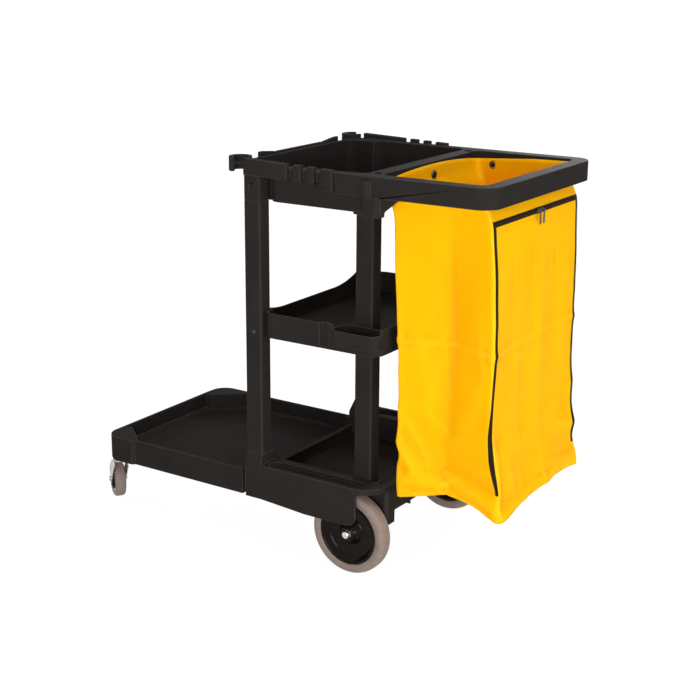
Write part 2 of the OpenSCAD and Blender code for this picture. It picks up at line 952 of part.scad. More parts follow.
// Socket that takes the head of the right rear post under the tub
module rear_top_socket() {
    block([rear_post_x - socket_wall, rear_post_out - post_y - socket_wall, tub_z - rear_head_h],
        [rear_post_x + post_x + socket_wall, rear_post_out + socket_wall, tub_z + e]);
}

module top_tray() {
    top = tub_z + post_top_in;
    recess_in = 6;
    recess_w = 22;
    color(plastic)
        from_front()
            difference() {
                union() {
                    tub();
                    handle_channel();
                    both_sides() {
                        tool_blocks();
                        notch_hook();
                        collar();
                        post_prism(front_post_x, post_out, top_socket_z, handle_z - e);
                        rear_top_socket();
                    }
                    front_lip();
                }
                both_sides() {
                    post_prism(front_post_x, post_out, top_socket_z - e, top + post_fit, tenon_fit);
                    post_prism(rear_post_x, rear_post_out, tub_z - rear_head_h - e, tub_z, post_fit);
                    upright(post_out - socket_wall - e, half_w + 2 * e)
                        snap_outline(1);
                    block_slot();
                    translate([notch_x, notch_y, block_z])
                        cylinder(h = block_h + e, r = notch_r);
                    // Recess at each end of the crossbar
                    block([tub_end + recess_in, mouth_half - recess_w, handle_z - wall - e],
                        [crossbar_end - recess_in, mouth_half, handle_z + e]);
                }
            }
}

module axle() {
    color(steel)
        from_front()
            translate([wheel_x, -axle_end, wheel_r])
                rotate([-90, 0, 0])
                    cylinder(h = 2 * axle_end, r = axle_r);
}

// A ring on the axle line from y0 to y1
module axle_ring(y0, y1, inner, outer) {
    translate([wheel_x, y0, wheel_r])
        rotate([-90, 0, 0])
            difference() {
                cylinder(h = y1 - y0, r = outer);
                translate([0, 0, -e])
                    cylinder(h = y1 - y0 + 2 * e, r = inner);
            }
}

module axle_washers() {
    color(steel)
        from_front()
            both_sides()
                axle_ring(ear_out, ear_out + washer_t, axle_r + run_fit, 2 * axle_r + 3);
}

// Push-on caps with a domed face
module axle_caps() {
    cap_h = axle_end - hub_out - run_fit * 4 + 3;
    color(steel)
        from_front()
            both_sides()
                translate([wheel_x, hub_out + run_fit * 4, wheel_r])
                    rotate([-90, 0, 0])
                        difference() {
                            rotate_extrude()
                                polygon([[0, 0], [cap_r, 0], [cap_r, 3], [cap_r - 1.5, cap_h - 1.5],
                                    [cap_r - 4, cap_h], [0, cap_h]]);
                            translate([0, 0, -e])
                                cylinder(h = axle_end - hub_out - run_fit * 4 + e, r = axle_r);
                        }
}

// Places a wheel's section, drawn as radius and width, on the right end of the axle
module on_axle(side) {
    from_front()
        on_side(side)
            translate([wheel_x, tyre_y, wheel_r])
                rotate([-90, 0, 0])
                    rotate_extrude($fn = 96)
                        children();
}

// Dished hub: deep rim, thin web and a boss on the bushing
module wheel_hub(side) {
    rim_r = wheel_r - tyre_t;
    half = tyre_w / 2 - 2;
    boss_in = hub_in - tyre_y;
    boss_out = hub_out - tyre_y;
    boss_r = bushing_r + 9;
    color(black)
        on_axle(side)
            polygon([[bushing_r, boss_in], [boss_r, boss_in], [boss_r + 3, -5], [rim_r - 12, -half + 4],
                [rim_r - 8, -half], [rim_r, -half], [rim_r, half], [rim_r - 6, half], [rim_r - 10, half - 4],
                [rim_r - 20, 2], [boss_r + 8, 2], [boss_r + 2, boss_out - 6], [boss_r - 2, boss_out],
                [bushing_r, boss_out]]);
}

module wheel_hub_left() {
    wheel_hub(-1);
}

module wheel_hub_right() {
    wheel_hub(1);
}

module wheel_bushing(side) {
    color("ivory")
        from_front()
            on_side(side)
                axle_ring(hub_in, hub_out, axle_r + run_fit, bushing_r);
}

module wheel_bushing_left() {
    wheel_bushing(-1);
}

module wheel_bushing_right() {
    wheel_bushing(1);
}

// Section of a tyre with round shoulders, from its bore to its tread
module tyre_section(bore, outer, w, round) {
    difference() {
        union() {
            translate([bore, -w / 2])
                square([outer - bore - round, w]);
            translate([bore, round - w / 2])
                square([outer - bore, w - 2 * round]);
            for (side = [-1, 1])
                translate([outer - round, side * (w / 2 - round)])
                    circle(round);
        }
        translate([bore - 2 * round, -w / 2 - e])
            square([2 * round, w + 2 * e]);
    }
}

module tyre(side) {
    color(tread)
        on_axle(side)
            tyre_section(wheel_r - tyre_t, wheel_r, tyre_w, tyre_round);
}

module tyre_left() {
    tyre(-1);
}

module tyre_right() {
    tyre(1);
}

// Places a caster, drawn with its pivot on z and its trail along +x
module at_caster(side) {
    from_front()
        translate([caster_x, side * caster_y, 0])
            rotate([0, 0, -side * caster_turn])
                children();
}

module caster_sleeve(side) {
    color(steel)
        at_caster(side)
            translate([0, 0, deck_z])
                difference() {
                    cylinder(h = sleeve_h, r = sleeve_r);
                    translate([0, 0, -e])
                        cylinder(h = sleeve_h + 2 * e, r = stem_r + run_fit);
                }
}

module caster_sleeve_left() {
    caster_sleeve(-1);
}

module caster_sleeve_right() {
    caster_sleeve(1);
}

module caster_stem(side) {
    color(steel)
        at_caster(side)
            translate([0, 0, deck_z - slide_fit])
                cylinder(h = sleeve_h - 2, r = stem_r);
}

module caster_stem_left() {
    caster_stem(-1);
}

module caster_stem_right() {
    caster_stem(1);
}

// Pressed fork: a crown with a rolled edge and two plates that reach back to the bolt
module caster_fork(side) {
    crown_z = deck_z - slide_fit;
    plate_z = crown_z - 12;
    color(steel)
        at_caster(side)
            difference() {
                union() {
                    translate([0, 0, plate_z])
                        rotate_extrude()
                            polygon([[0, 0], [crown_r - 5, 0], [crown_r - 1, 3], [crown_r, 6],
                                [crown_r - 2, 9], [crown_r - 6, 12], [0, 12]]);
                    both_sides() {
                        upright(caster_side, caster_side + fork_t) {
                            polygon([[-crown_r + 10, plate_z + 3], [crown_r - 8, plate_z + 3],
                                [caster_trail + 11, caster_r + 4], [caster_trail + 4, caster_r - 10],
                                [caster_trail - 8, caster_r - 8], [-crown_r + 8, plate_z - 12]]);
                            translate([caster_trail, caster_r])
                                circle(11);
                        }
                    }
                    block([-crown_r + 12, -caster_side - e, plate_z],
                        [crown_r - 10, caster_side + e, plate_z + 3]);
                }
                translate([caster_trail, -caster_side - 10, caster_r])
                    rotate([-90, 0, 0])
                        cylinder(h = 2 * caster_side + 20, r = caster_bolt_r);
            }
}

module caster_fork_left() {
    caster_fork(-1);
}

module caster_fork_right() {
    caster_fork(1);
}

// Bolt with a head and a nut outside the fork plates
module caster_bolt(side) {
    head_y = caster_side + fork_t;
    color(steel)
        at_caster(side)
            translate([caster_trail, 0, caster_r])
                rotate([-90, 0, 0]) {
                    translate([0, 0, -head_y - 2])
                        cylinder(h = 2 * head_y + 4, r = caster_bolt_r);
                    translate([0, 0, -head_y - 4])
                        cylinder(h = 4, r = 7, $fn = 6);
                    translate([0, 0, head_y])
                        cylinder(h = 3, r = 7);
                }
}

module caster_bolt_left() {
    caster_bolt(-1);
}

module caster_bolt_right() {
    caster_bolt(1);
}

// Places a caster wheel's section on its bolt
module on_caster_bolt(side) {
    at_caster(side)
        translate([caster_trail, 0, caster_r])
            rotate([-90, 0, 0])
                rotate_extrude($fn = 64)
                    children();
}

module caster_hub(side) {
    bore = caster_bolt_r + run_fit;
    rim_r = caster_r - caster_tread_t;
    half = caster_w / 2 - 2;
    boss = caster_side - slide_fit;
    color(black)
        on_caster_bolt(side)
            polygon([[bore, -boss], [bore + 6, -boss], [bore + 8, -6], [rim_r - 8, -5], [rim_r - 4, -half],
                [rim_r, -half], [rim_r, half], [rim_r - 4, half], [rim_r - 8, 5], [bore + 8, 6],
                [bore + 6, boss], [bore, boss]]);
}

module caster_hub_left() {
    caster_hub(-1);
}

module caster_hub_right() {
    caster_hub(1);
}

module caster_tread(side) {
    color(tread)
        on_caster_bolt(side)
            tyre_section(caster_r - caster_tread_t, caster_r, caster_w, caster_round);
}

module caster_tread_left() {
    caster_tread(-1);
}

module caster_tread_right() {
    caster_tread(1);
}

// Points round the bag at height z, drawn in by a margin: four round corners and a fold in each side
function bag_ring(z, x0, x1, half, fold, inset) =
    let (r = bag_r - inset, x_fold = bag_end - fold_in, y_fold = half - inset - fold)
    let (corner = function(x, side, from) [for (i = [0 : bag_steps])
        let (a = from + i * 90 / bag_steps)
            [x + r * cos(a), side * (half - bag_r) + r * sin(a), z]])
    concat(corner(x1 - bag_r, 1, 0), [[x_fold, y_fold, z]], corner(x0 + bag_r, 1, 90),
        corner(x0 + bag_r, -1, 180), [[x_fold, -y_fold, z]], corner(x1 - bag_r, -1, 270));

// Rings of the bag from its foot to its mouth, drawn in by a margin, from z0 to z1
function bag_rings(inset, z0, z1) = [
    bag_ring(z0, bag_x + bag_lean, bag_end + bag_lean, bag_half, fold_foot, inset),
    let (out = lean_slope * (lean_z - bag_z - fold_h))
        bag_ring(bag_z + fold_h, bag_x + out, bag_end + out, bag_half, fold_d, inset),
    bag_ring(lean_z, bag_x, bag_end, bag_half, 0, inset),
    bag_ring(neck_z, mouth_x, mouth_end, mouth_half, 0, inset),
    bag_ring(z1, mouth_x, mouth_end, mouth_half, 0, inset)];

// Closed skin through the bag's rings, with ends split at the folds and alike bends right and left
module loft(rings) {
    n = len(rings[0]);
    last = len(rings) - 1;
    right = bag_steps + 1;
    left = n - bag_steps - 2;
    sides = [for (i = [0 : last - 1], j = [0 : n - 1])
        let (a = i * n + j, b = i * n + (j + 1) % n)
            each j < n / 2
                ? [[a, a + n, b], [b, a + n, b + n]]
                : [[a, a + n, b + n], [a, b + n, b]]];
    feet = [[for (j = [left : n + right]) j % n], [for (j = [right : left]) j]];
    heads = [for (foot = feet) [for (j = [len(foot) - 1 : -1 : 0]) last * n + foot[j]]];
    polyhedron([for (ring = rings) each ring], concat(feet, heads, sides));
}

// Outline of the bag's mouth inside the handle, drawn in by a margin
module bag_mouth(inset) {
    translate([mouth_x + inset, 0])
        all_rounded(mouth_end - mouth_x - 2 * inset, 2 * mouth_half - 2 * inset, bag_r - inset);
}

// Stands children on each grommet: two on each side, one at each end, with +z into the bag
module at_grommets() {
    for (x = [mouth_x + grommet_in, mouth_end - grommet_in], side = [-1, 1])
        translate([x, side * mouth_half, peg_z])
            rotate([side * 90, 0, 0])
                children();
    translate([mouth_x, 0, peg_z])
        rotate([0, 90, 0])
            children();
    translate([mouth_end, 0, peg_z])
        rotate([0, -90, 0])
            children();
}

// Hollow bag with folded sides, open at the top, with a drawn-in mouth
module bag_body() {
    color(vinyl)
        from_front()
            difference() {
                loft(bag_rings(0, bag_z, neck_top));
                loft(bag_rings(bag_t, bag_z + bag_t, neck_top + e));
                at_grommets()
                    translate([0, 0, -e])
                        cylinder(h = bag_t + 2 * e, r = peg_r);
            }
}

// Turned hem round the outside of the mouth
module bag_hem() {
    color(vinyl)
        from_front()
            translate([0, 0, neck_top - hem_h])
                linear_extrude(hem_h)
                    difference() {
                        bag_mouth(-hem_t);
                        bag_mouth(0);
                    }
}

module bag_grommets() {
    color(steel)
        from_front()
            at_grommets()
                translate([0, 0, bag_t])
                    difference() {
                        cylinder(h = grommet_t, r = grommet_r);
                        translate([0, 0, -e])
                            cylinder(h = grommet_t + 2 * e, r = peg_r);
                    }
}

// Pegs on the handle's inner lip that reach through the grommets
module bag_hooks() {
    head_z = bag_t + grommet_t;
    head_h = 3;
    color(plastic)
        from_front()
            at_grommets() {
                translate([0, 0, -mouth_gap])
                    cylinder(h = mouth_gap + head_z + e, r = peg_r);
                translate([0, 0, head_z])
                    cylinder(h = head_h, r = peg_head_r);
            }
}

// Three-sided run of the zip on the bag's end face, of a given width
module zip_run(w) {
    low = bag_z + zip_end;
    translate([-zip_half - w / 2, zip_z - w / 2])
        square([2 * zip_half + w, w]);
    for (side = [-1, 1])
        translate([side * zip_half - w / 2, low])
            square([w, zip_z - low]);
}

// Lays an outline, drawn in y and z, on the bag's leaning end face, at a distance from it
module on_end_face(off, t) {
    from_front()
        translate([bag_end, 0, lean_z])
            rotate([0, -lean_angle, 0])
                translate([off, 0, -lean_z])
                    rotate([90, 0, 90])
                        linear_extrude(t)
                            children();
}

module zip_tape() {
    color(black)
        on_end_face(0, tape_t)
            zip_run(tape_w);
}

module zip_chain() {
    color(black)
        on_end_face(tape_t, chain_t)
            zip_run(chain_w);
}

// Slider with a waist and the bail that holds its pull
module zip_slider(side) {
    color(steel)
        from_front()
            translate([slider_x, side * slider_y, zip_z]) {
                rotate([90, 0, 90])
                    linear_extrude(slider_t - 2)
                        difference() {
                            all_rounded_at(slider_l, slider_w, 2.5);
                            for (turn = [-1, 1])
                                translate([side * slider_l / 2, turn * slider_w / 2])
                                    circle(3, $fn = 24);
                        }
                for (y = [-1, 1])
                    translate([slider_t - 2 - e, y * 4 - 0.8, -2.5])
                        cube([pull_x - slider_x - slider_t + 2 + e + 2, 1.6, 5]);
                translate([pull_x - slider_x, -4.8, 0])
                    rotate([-90, 0, 0])
                        cylinder(h = 9.6, r = pull_pin_r);
            }
}

// Rounded rectangle about its own middle
module all_rounded_at(l, w, r) {
    translate([-l / 2, 0])
        all_rounded(l, w, r);
}

module zip_slider_left() {
    zip_slider(-1);
}

module zip_slider_right() {
    zip_slider(1);
}

// Pull that hangs from the slider's bail, with an eye and a slot
module zip_pull(side) {
    eye_r = pull_pin_r + 1.6;
    eye_w = 5.6;
    color(steel)
        from_front()
            translate([pull_x, side * slider_y, zip_z])
                difference() {
                    union() {
                        translate([0, -eye_w / 2, 0])
                            rotate([-90, 0, 0])
                                cylinder(h = eye_w, r = eye_r);
                        translate([-pull_t / 2, 0, 0])
                            rotate([90, 0, 90])
                                linear_extrude(pull_t) {
                                    translate([-eye_w / 2, -9])
                                        square([eye_w, 9]);
                                    translate([-pull_w / 2, -pull_l + 3])
                                        square([pull_w, pull_l - 11]);
                                    translate([0, -pull_l + 4])
                                        circle(pull_w / 2, $fn = 32);
                                }
                    }
                    translate([0, -eye_w, 0])
                        rotate([-90, 0, 0])
                            cylinder(h = 2 * eye_w, r = pull_pin_r + run_fit);
                    translate([-pull_t, 0, -pull_l + 4])
                        rotate([0, 90, 0])
                            cylinder(h = 2 * pull_t, r = 1.8, $fn = 24);
                }
}

module zip_pull_left() {
    zip_pull(-1);
}

module zip_pull_right() {
    zip_pull(1);
}

base_platform();
front_post_left();
front_post_right();
rear_post_left();
rear_post_right();
middle_shelf();
shelf_screws();
top_tray();
axle();
axle_washers();
axle_caps();
wheel_hub_left();
wheel_hub_right();
wheel_bushing_left();
wheel_bushing_right();
tyre_left();
tyre_right();
caster_sleeve_left();
caster_sleeve_right();
caster_stem_left();
caster_stem_right();
caster_fork_left();
caster_fork_right();
caster_bolt_left();
caster_bolt_right();
caster_hub_left();
caster_hub_right();
caster_tread_left();
caster_tread_right();
bag_body();
bag_hem();
bag_grommets();
bag_hooks();
zip_tape();
zip_chain();
zip_slider_left();
zip_slider_right();
zip_pull_left();
zip_pull_right();
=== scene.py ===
"""Janitor cart: finishes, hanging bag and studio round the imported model.

Lengths are metres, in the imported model's own frame: +X towards the handle, +Z up, floor at zero.
"""
import json
import math

import bmesh
import bpy
import numpy as np
from bpy.props import FloatProperty, FloatVectorProperty, IntProperty, PointerProperty
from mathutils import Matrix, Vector
from mathutils.bvhtree import BVHTree


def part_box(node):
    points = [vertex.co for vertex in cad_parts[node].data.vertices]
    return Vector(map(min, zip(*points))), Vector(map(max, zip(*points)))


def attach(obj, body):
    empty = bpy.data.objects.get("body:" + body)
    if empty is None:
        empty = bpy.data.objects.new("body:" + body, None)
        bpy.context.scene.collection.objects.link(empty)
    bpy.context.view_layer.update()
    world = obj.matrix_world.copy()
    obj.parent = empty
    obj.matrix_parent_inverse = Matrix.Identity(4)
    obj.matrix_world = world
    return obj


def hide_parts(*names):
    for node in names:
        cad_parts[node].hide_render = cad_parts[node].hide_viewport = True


bl_info = {
    "name": "Janitor Cart",
    "version": (1, 0, 0),
    "blender": (4, 5, 0),
    "location": "View3D > Sidebar > Cart",
    "description": "Finishes a janitor cart, hangs its bag and sets up a studio",
    "category": "Object",
}

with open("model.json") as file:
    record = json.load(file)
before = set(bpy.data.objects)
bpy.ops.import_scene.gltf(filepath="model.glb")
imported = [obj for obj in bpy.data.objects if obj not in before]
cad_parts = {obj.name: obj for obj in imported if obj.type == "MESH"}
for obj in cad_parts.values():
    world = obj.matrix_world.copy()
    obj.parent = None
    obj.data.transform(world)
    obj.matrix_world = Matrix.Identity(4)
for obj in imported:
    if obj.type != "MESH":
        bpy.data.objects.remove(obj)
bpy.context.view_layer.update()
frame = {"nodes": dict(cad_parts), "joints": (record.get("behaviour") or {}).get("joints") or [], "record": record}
record = frame["record"]
NODE_SLOT = {part["node"]: part["material_slot"] for part in record["subparts"]}
NODE_BODY = {node: body for body, nodes in record["behaviour"]["bodies"].items() for node in nodes}
MM = 0.001
SIDES = {"left": -1, "right": 1}

# The camera that the reference view was taken from. Its place starts at a line a little ahead of the deck
FRONT_GAP = 28 * MM
FRONT_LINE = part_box("base_platform")[0].x - FRONT_GAP
PHOTO_PIXELS = 700
CAMERA_PLACE = (2.4877, -2.8498, 1.468)
CAMERA_YAW = 34.4
CAMERA_PITCH = 15.8
CAMERA_FOCAL_PIXELS = 1393.3
CAMERA_MIDDLE_PIXEL = (314.2, 336.0)
SENSOR = 36.0


def length(name, description, millimetres):
    """A length that a user may change."""
    return FloatProperty(name=name, description=description, default=millimetres * MM, min=0, unit="LENGTH")


def paint(name, description, *channels):
    """A colour that a user may change."""
    return FloatVectorProperty(name=name, description=description, default=channels, subtype="COLOR")


class CartSizes(bpy.types.PropertyGroup):
    """Sizes of the finishing detail"""

    moulding_edge: length("Moulding edge", "Radius on the edges of the mouldings", 1.6)
    metal_edge: length("Metal edge", "Radius on the edges of the metal parts", 0.5)
    wheel_turns: IntProperty(name="Wheel facets", description="Facets round a wheel", default=144, min=24)
    bag_cloth: length("Bag cloth", "Thickness of the bag's vinyl", 1.2)
    gusset_depth: length("Gusset depth", "Depth of the fold in each side of the bag", 56)
    crumple: length("Crumple", "Depth of the crumples at the bag's foot", 7)
    settle_cap: length("Settling", "Most that the cloth moves as it settles", 9)
    tape_width: length("Zip tape", "Width of the zip's tape", 13)
    coil_pitch: length("Coil pitch", "Distance between turns of the zip's coil", 2.2)
    stitch_pitch: length("Stitch pitch", "Distance between stitches", 4.5)


class CartColours(bpy.types.PropertyGroup):
    """Colours of the finishes"""

    plastic: paint("Moulded plastic", "Charcoal of the mouldings", 0.0215, 0.0190, 0.0178)
    hub: paint("Hub", "Glossy black of the hubs", 0.006, 0.003, 0.002)
    tread: paint("Tread", "Grey of the tyres", 0.225, 0.176, 0.148)
    steel: paint("Steel", "Bright steel of the axle", 0.62, 0.61, 0.58)
    zinc: paint("Zinc", "Plating of the caster forks", 0.44, 0.40, 0.37)
    nylon: paint("Nylon", "Bushings of the wheels", 0.62, 0.58, 0.48)
    vinyl: paint("Vinyl", "Yellow of the bag", 1.0, 0.445, 0.001)
    tape: paint("Zip tape", "Woven tape of the zip", 0.016, 0.007, 0.004)
    zip_metal: paint("Zip metal", "Sliders and grommets", 0.085, 0.080, 0.072)
    floor: paint("Floor", "Pale studio floor", 0.86, 0.86, 0.85)


def sizes():
    return bpy.context.scene.cart_sizes


def colours():
    return bpy.context.scene.cart_colours


class Wire:
    """A socket's value: sums of wires and numbers add Math nodes."""

    def __init__(self, graph, socket):
        self.graph = graph
        self.socket = socket

    def combine(self, operation, left, right):
        return self.graph.node("ShaderNodeMath", {"operation": operation}, {0: left, 1: right})

    def __add__(self, other):
        return self.combine("ADD", self, other)

    __radd__ = __add__

    def __sub__(self, other):
        return self.combine("SUBTRACT", self, other)

    def __rsub__(self, other):
        return self.combine("SUBTRACT", other, self)

    def __mul__(self, other):
        return self.combine("MULTIPLY", self, other)

    __rmul__ = __mul__

    def at_most(self, other):
        return self.combine("MINIMUM", self, other)


class Graph:
    """A node tree that is built node by node."""

    def __init__(self, tree):
        self.tree = tree
        self.tree.nodes.clear()

    @classmethod
    def of(cls, owner):
        """The emptied node tree of a material or world."""
        owner.use_nodes = True
        return cls(owner.node_tree)

    def node(self, kind, settings=None, sockets=None, out=0):
        """Adds a node: its settings first, then values or links of its sockets. Returns one output."""
        made = self.tree.nodes.new(kind)
        for key, value in (settings or {}).items():
            if key == "stops":
                self.set_stops(made.color_ramp, value)
            else:
                setattr(made, key, value)
        for key, value in (sockets or {}).items():
            if isinstance(value, Wire):
                self.tree.links.new(value.socket, made.inputs[key])
            else:
                made.inputs[key].default_value = value
        return Wire(self, made.outputs[out]) if made.outputs else made

    @staticmethod
    def set_stops(ramp, stops):
        while len(ramp.elements) < len(stops):
            ramp.elements.new(1.0)
        for element, (place, shade) in zip(ramp.elements, stops):
            element.position = place
            element.color = (shade, shade, shade, 1)

    def outputs(self, kind, *names):
        """Adds a node and returns several of its outputs."""
        made = self.tree.nodes.new(kind)
        return [Wire(self, made.outputs[name]) for name in names]

    def place(self, stretch=(1, 1, 1)):
        """Object coordinates, stretched."""
        spot = self.node("ShaderNodeTexCoord", out="Object")
        return self.node("ShaderNodeMapping", {}, {"Vector": spot, "Scale": stretch})

    def noise(self, scale, detail=2.0, rough=0.5, stretch=(1, 1, 1)):
        return self.node("ShaderNodeTexNoise", {}, {
            "Vector": self.place(stretch), "Scale": scale, "Detail": detail, "Roughness": rough}, out="Fac")

    def bands(self, way, scale, distortion, place=None, detail=2.0):
        """Soft stripes across a way."""
        return self.node("ShaderNodeTexWave", {"bands_direction": way}, {
            "Vector": place or self.place(), "Scale": scale, "Distortion": distortion, "Detail": detail},
            out="Fac")

    def ramp(self, value, *stops):
        return self.node("ShaderNodeValToRGB", {"stops": stops}, {"Fac": value})

    def mix(self, factor, a, b):
        """Colour between a and b."""
        ends = [end if isinstance(end, Wire) else (*end, 1) for end in (a, b)]
        return self.node("ShaderNodeMix", {"data_type": "RGBA"}, {0: factor, 6: ends[0], 7: ends[1]}, out=2)

    def bump(self, height, strength, distance):
        return self.node("ShaderNodeBump", {}, {
            "Height": height, "Strength": strength, "Distance": distance}, out="Normal")

    def attribute(self, name):
        return self.node("ShaderNodeAttribute", {"attribute_name": name}, {}, out="Fac")

    def finish(self, sockets):
        """Ends a material's tree in a Principled shader."""
        shader = self.node("ShaderNodeBsdfPrincipled", {}, sockets)
        self.node("ShaderNodeOutputMaterial", {}, {"Surface": shader})


def tinted(colour, share):
    """A colour made lighter or darker by a share."""
    return tuple(min(1.0, channel * share) for channel in colour)


def once(name, make):
    """The material of that name, made the first time it is asked for."""
    return bpy.data.materials.get(name) or make(name)


def finish_from(colour, *values):
    """Turns a function that gives a shader's sockets from a base colour into a maker of the material."""
    def maker(sockets):
        def make(name):
            material = bpy.data.materials.new(name)
            graph = Graph.of(material)
            graph.finish(sockets(graph, tuple(getattr(colours(), colour)), *values))
            return material
        return make
    return maker


@finish_from("plastic")
def moulded_plastic(graph, base):
    """Structural-foam plastic: satin, faintly cloudy, with a fine grain and paler edges, partly wear and partly a
    painted highlight.
    """
    cloudy = graph.noise(14, 4, 0.6)
    swirl = graph.noise(30, 3, stretch=(1, 1, 5))
    grain = graph.noise(1100)
    # Painted highlight: narrow edge strips are mixed towards four times the base colour, stronger in patches; a
    # little of it is wear.
    edge_patches = graph.ramp(graph.noise(60, 6, 0.7, (3, 1, 9)), (0.52, 0), (0.72, 1))
    edge = graph.attribute("edge_wear")
    colour = graph.mix(cloudy, tinted(base, 0.78), tinted(base, 1.25))
    return {
        "Base Color": graph.mix(edge * (0.3 + 0.6 * edge_patches), colour, tinted(base, 4.0)),
        "Roughness": 0.50 + 0.10 * cloudy + 0.05 * swirl - 0.16 * edge,
        "Specular IOR Level": 0.006,
        "Normal": graph.bump(grain + 0.3 * swirl, 0.12, 0.3 * MM),
    }


@finish_from("hub")
def gloss_plastic(graph, base):
    """Glossy moulded hub with faint flow marks and a little dust."""
    flow = graph.noise(40, 4, stretch=(1, 4, 1))
    dust = graph.ramp(graph.noise(300, 4, 0.7), (0.55, 0), (0.8, 1))
    return {
        "Base Color": graph.mix(dust * 0.25, base, (0.04, 0.034, 0.03)),
        "Roughness": 0.10 + 0.08 * flow + 0.15 * dust,
        "Specular IOR Level": 0.10,
        "Normal": graph.bump(flow, 0.05, 0.4 * MM),
    }


@finish_from("tread")
def soft_tread(graph, base):
    """Non-marking grey tread: matt, speckled, a little soiled."""
    soil = graph.noise(55, 5, 0.6)
    speck = graph.noise(1500)
    colour = graph.mix(graph.ramp(soil, (0.35, 0), (0.75, 1)), tinted(base, 1.08), tinted(base, 0.82))
    return {
        "Base Color": graph.mix(speck * 0.25, colour, tinted(base, 0.75)),
        "Roughness": 0.46 + 0.2 * soil,
        "Specular IOR Level": 0.2,
        "Normal": graph.bump(speck + 0.6 * soil, 0.15, 0.3 * MM),
    }


def plated(graph, base, rough, cell):
    """Sockets of plated metal with a mottled, finely brushed surface."""
    spangle = graph.node("ShaderNodeTexVoronoi", {}, {"Vector": graph.place(), "Scale": cell}, out="Color")
    spangle = graph.node("ShaderNodeSeparateColor", {}, {"Color": spangle})
    brushed = graph.noise(700, stretch=(1, 1, 12))
    return {
        "Base Color": graph.mix(spangle, tinted(base, 0.85), tinted(base, 1.12)),
        "Metallic": 1.0,
        "Roughness": rough + 0.12 * spangle + 0.06 * brushed,
        "Normal": graph.bump(brushed, 0.05, 0.1 * MM),
    }


@finish_from("nylon")
def natural_nylon(graph, base):
    """Milky nylon of the bushings."""
    cloudy = graph.noise(120, 3)
    return {
        "Base Color": graph.mix(cloudy, tinted(base, 0.9), base),
        "Roughness": 0.38 + 0.1 * cloudy,
        "Normal": graph.bump(cloudy, 0.05, 0.2 * MM),
    }


@finish_from("vinyl")
def coated_vinyl(graph, base):
    """Vinyl on a woven scrim: an even sheen, faint threads, a painted shade of deeper orange in hollows, and paler
    along creases.
    """
    red, green, blue = base
    cloth = graph.node("ShaderNodeUVMap", {"uv_map": "cloth"}, {}, out="UV")
    warp, weft = [graph.bands(way, 260, 0.6, cloth, 1) for way in "XY"]
    cloudy = graph.noise(9, 4, 0.55)
    fine = graph.noise(140, 4, 0.6)
    crease = graph.attribute("crease")
    colour = graph.mix(cloudy, tinted(base, 0.92), (red, green * 1.08, blue))
    # Painted shade: hollows in the cloth are mixed towards a deeper orange.
    colour = graph.mix(0.7 * graph.attribute("hollow"), colour, (red, green * 0.70, 0.0))
    return {
        "Base Color": graph.mix((crease * 0.2).at_most(0.2), colour, (1.0, 0.62, 0.04)),
        "Roughness": 0.50 + 0.12 * fine - 0.05 * cloudy,
        "Specular IOR Level": 0.02,
        "Subsurface Weight": 0.4,
        "Subsurface Radius": (1.0, 0.4, 0.02),
        "Subsurface Scale": 3 * MM,
        "Normal": graph.bump(warp * weft + 1.5 * fine, 0.16, 0.25 * MM),
    }


@finish_from("tape")
def woven_tape(graph, base):
    """Twill of the zip's tape."""
    twill = graph.bands("DIAGONAL", 420, 1.5)
    lint = graph.noise(500, 4, 0.7)
    return {
        "Base Color": graph.mix(twill * 0.6 + 0.3 * lint, tinted(base, 0.7), tinted(base, 1.9)),
        "Roughness": 0.62 + 0.2 * lint,
        "Specular IOR Level": 0.04,
        "Normal": graph.bump(twill, 0.4, 0.3 * MM),
    }


@finish_from("tape")
def coil_plastic(graph, base):
    """Polyester coil of the zip."""
    lint = graph.noise(900, 3)
    return {
        "Base Color": graph.mix(lint, tinted(base, 0.8), tinted(base, 1.8)),
        "Roughness": 0.35 + 0.15 * lint,
        "Specular IOR Level": 0.1,
        "Normal": graph.bump(lint, 0.1, 0.1 * MM),
    }


def twisted(graph, base, shade):
    """Sockets of twisted sewing thread, in a shade of the base colour."""
    base = tinted(base, shade)
    twist = graph.bands("DIAGONAL", 900, 1.0)
    return {
        "Base Color": graph.mix(twist, tinted(base, 0.7), tinted(base, 1.1)),
        "Roughness": 0.5 + 0.15 * twist,
        "Normal": graph.bump(twist, 0.3, 0.1 * MM),
    }


sewing_thread = finish_from("vinyl", 0.85)(twisted)
dark_thread = finish_from("tape", 1.6)(twisted)
# The makers of the finishes by slot. Plated metal has its roughness and the scale of its mottling
FINISHES = {
    "cart_plastic": moulded_plastic,
    "hub_plastic": gloss_plastic,
    "tread": soft_tread,
    "steel": finish_from("steel", 0.18, 500)(plated),
    "zinc": finish_from("zinc", 0.26, 320)(plated),
    "nylon": natural_nylon,
    "vinyl": coated_vinyl,
    "zip_black": woven_tape,
    "zip_metal": finish_from("zip_metal", 0.24, 900)(plated),
}


def finish_of(node):
    slot = NODE_SLOT[node]
    return once(slot + "_finish", FINISHES[slot])


def linked(name, data):
    """A new object in the scene."""
    made = bpy.data.objects.new(name, data)
    bpy.context.scene.collection.objects.link(made)
    return made


def add_modifier(piece, name, kind, **settings):
    made = piece.modifiers.new(name, kind)
    for key, value in settings.items():
        setattr(made, key, value)
    return made


def new_piece(name, mesh, material):
    """Links a mesh as a piece with one material."""
    piece = linked(name, mesh)
    mesh.materials.clear()
    mesh.materials.append(material)
    return piece


def with_body(piece, node):
    """The piece moves with a node's body, without standing for it."""
    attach(piece, NODE_BODY[node])


def stand_for(piece, node):
    """The piece takes the place and body of a CAD node, which is hidden."""
    with_body(piece, node)
    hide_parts(node)


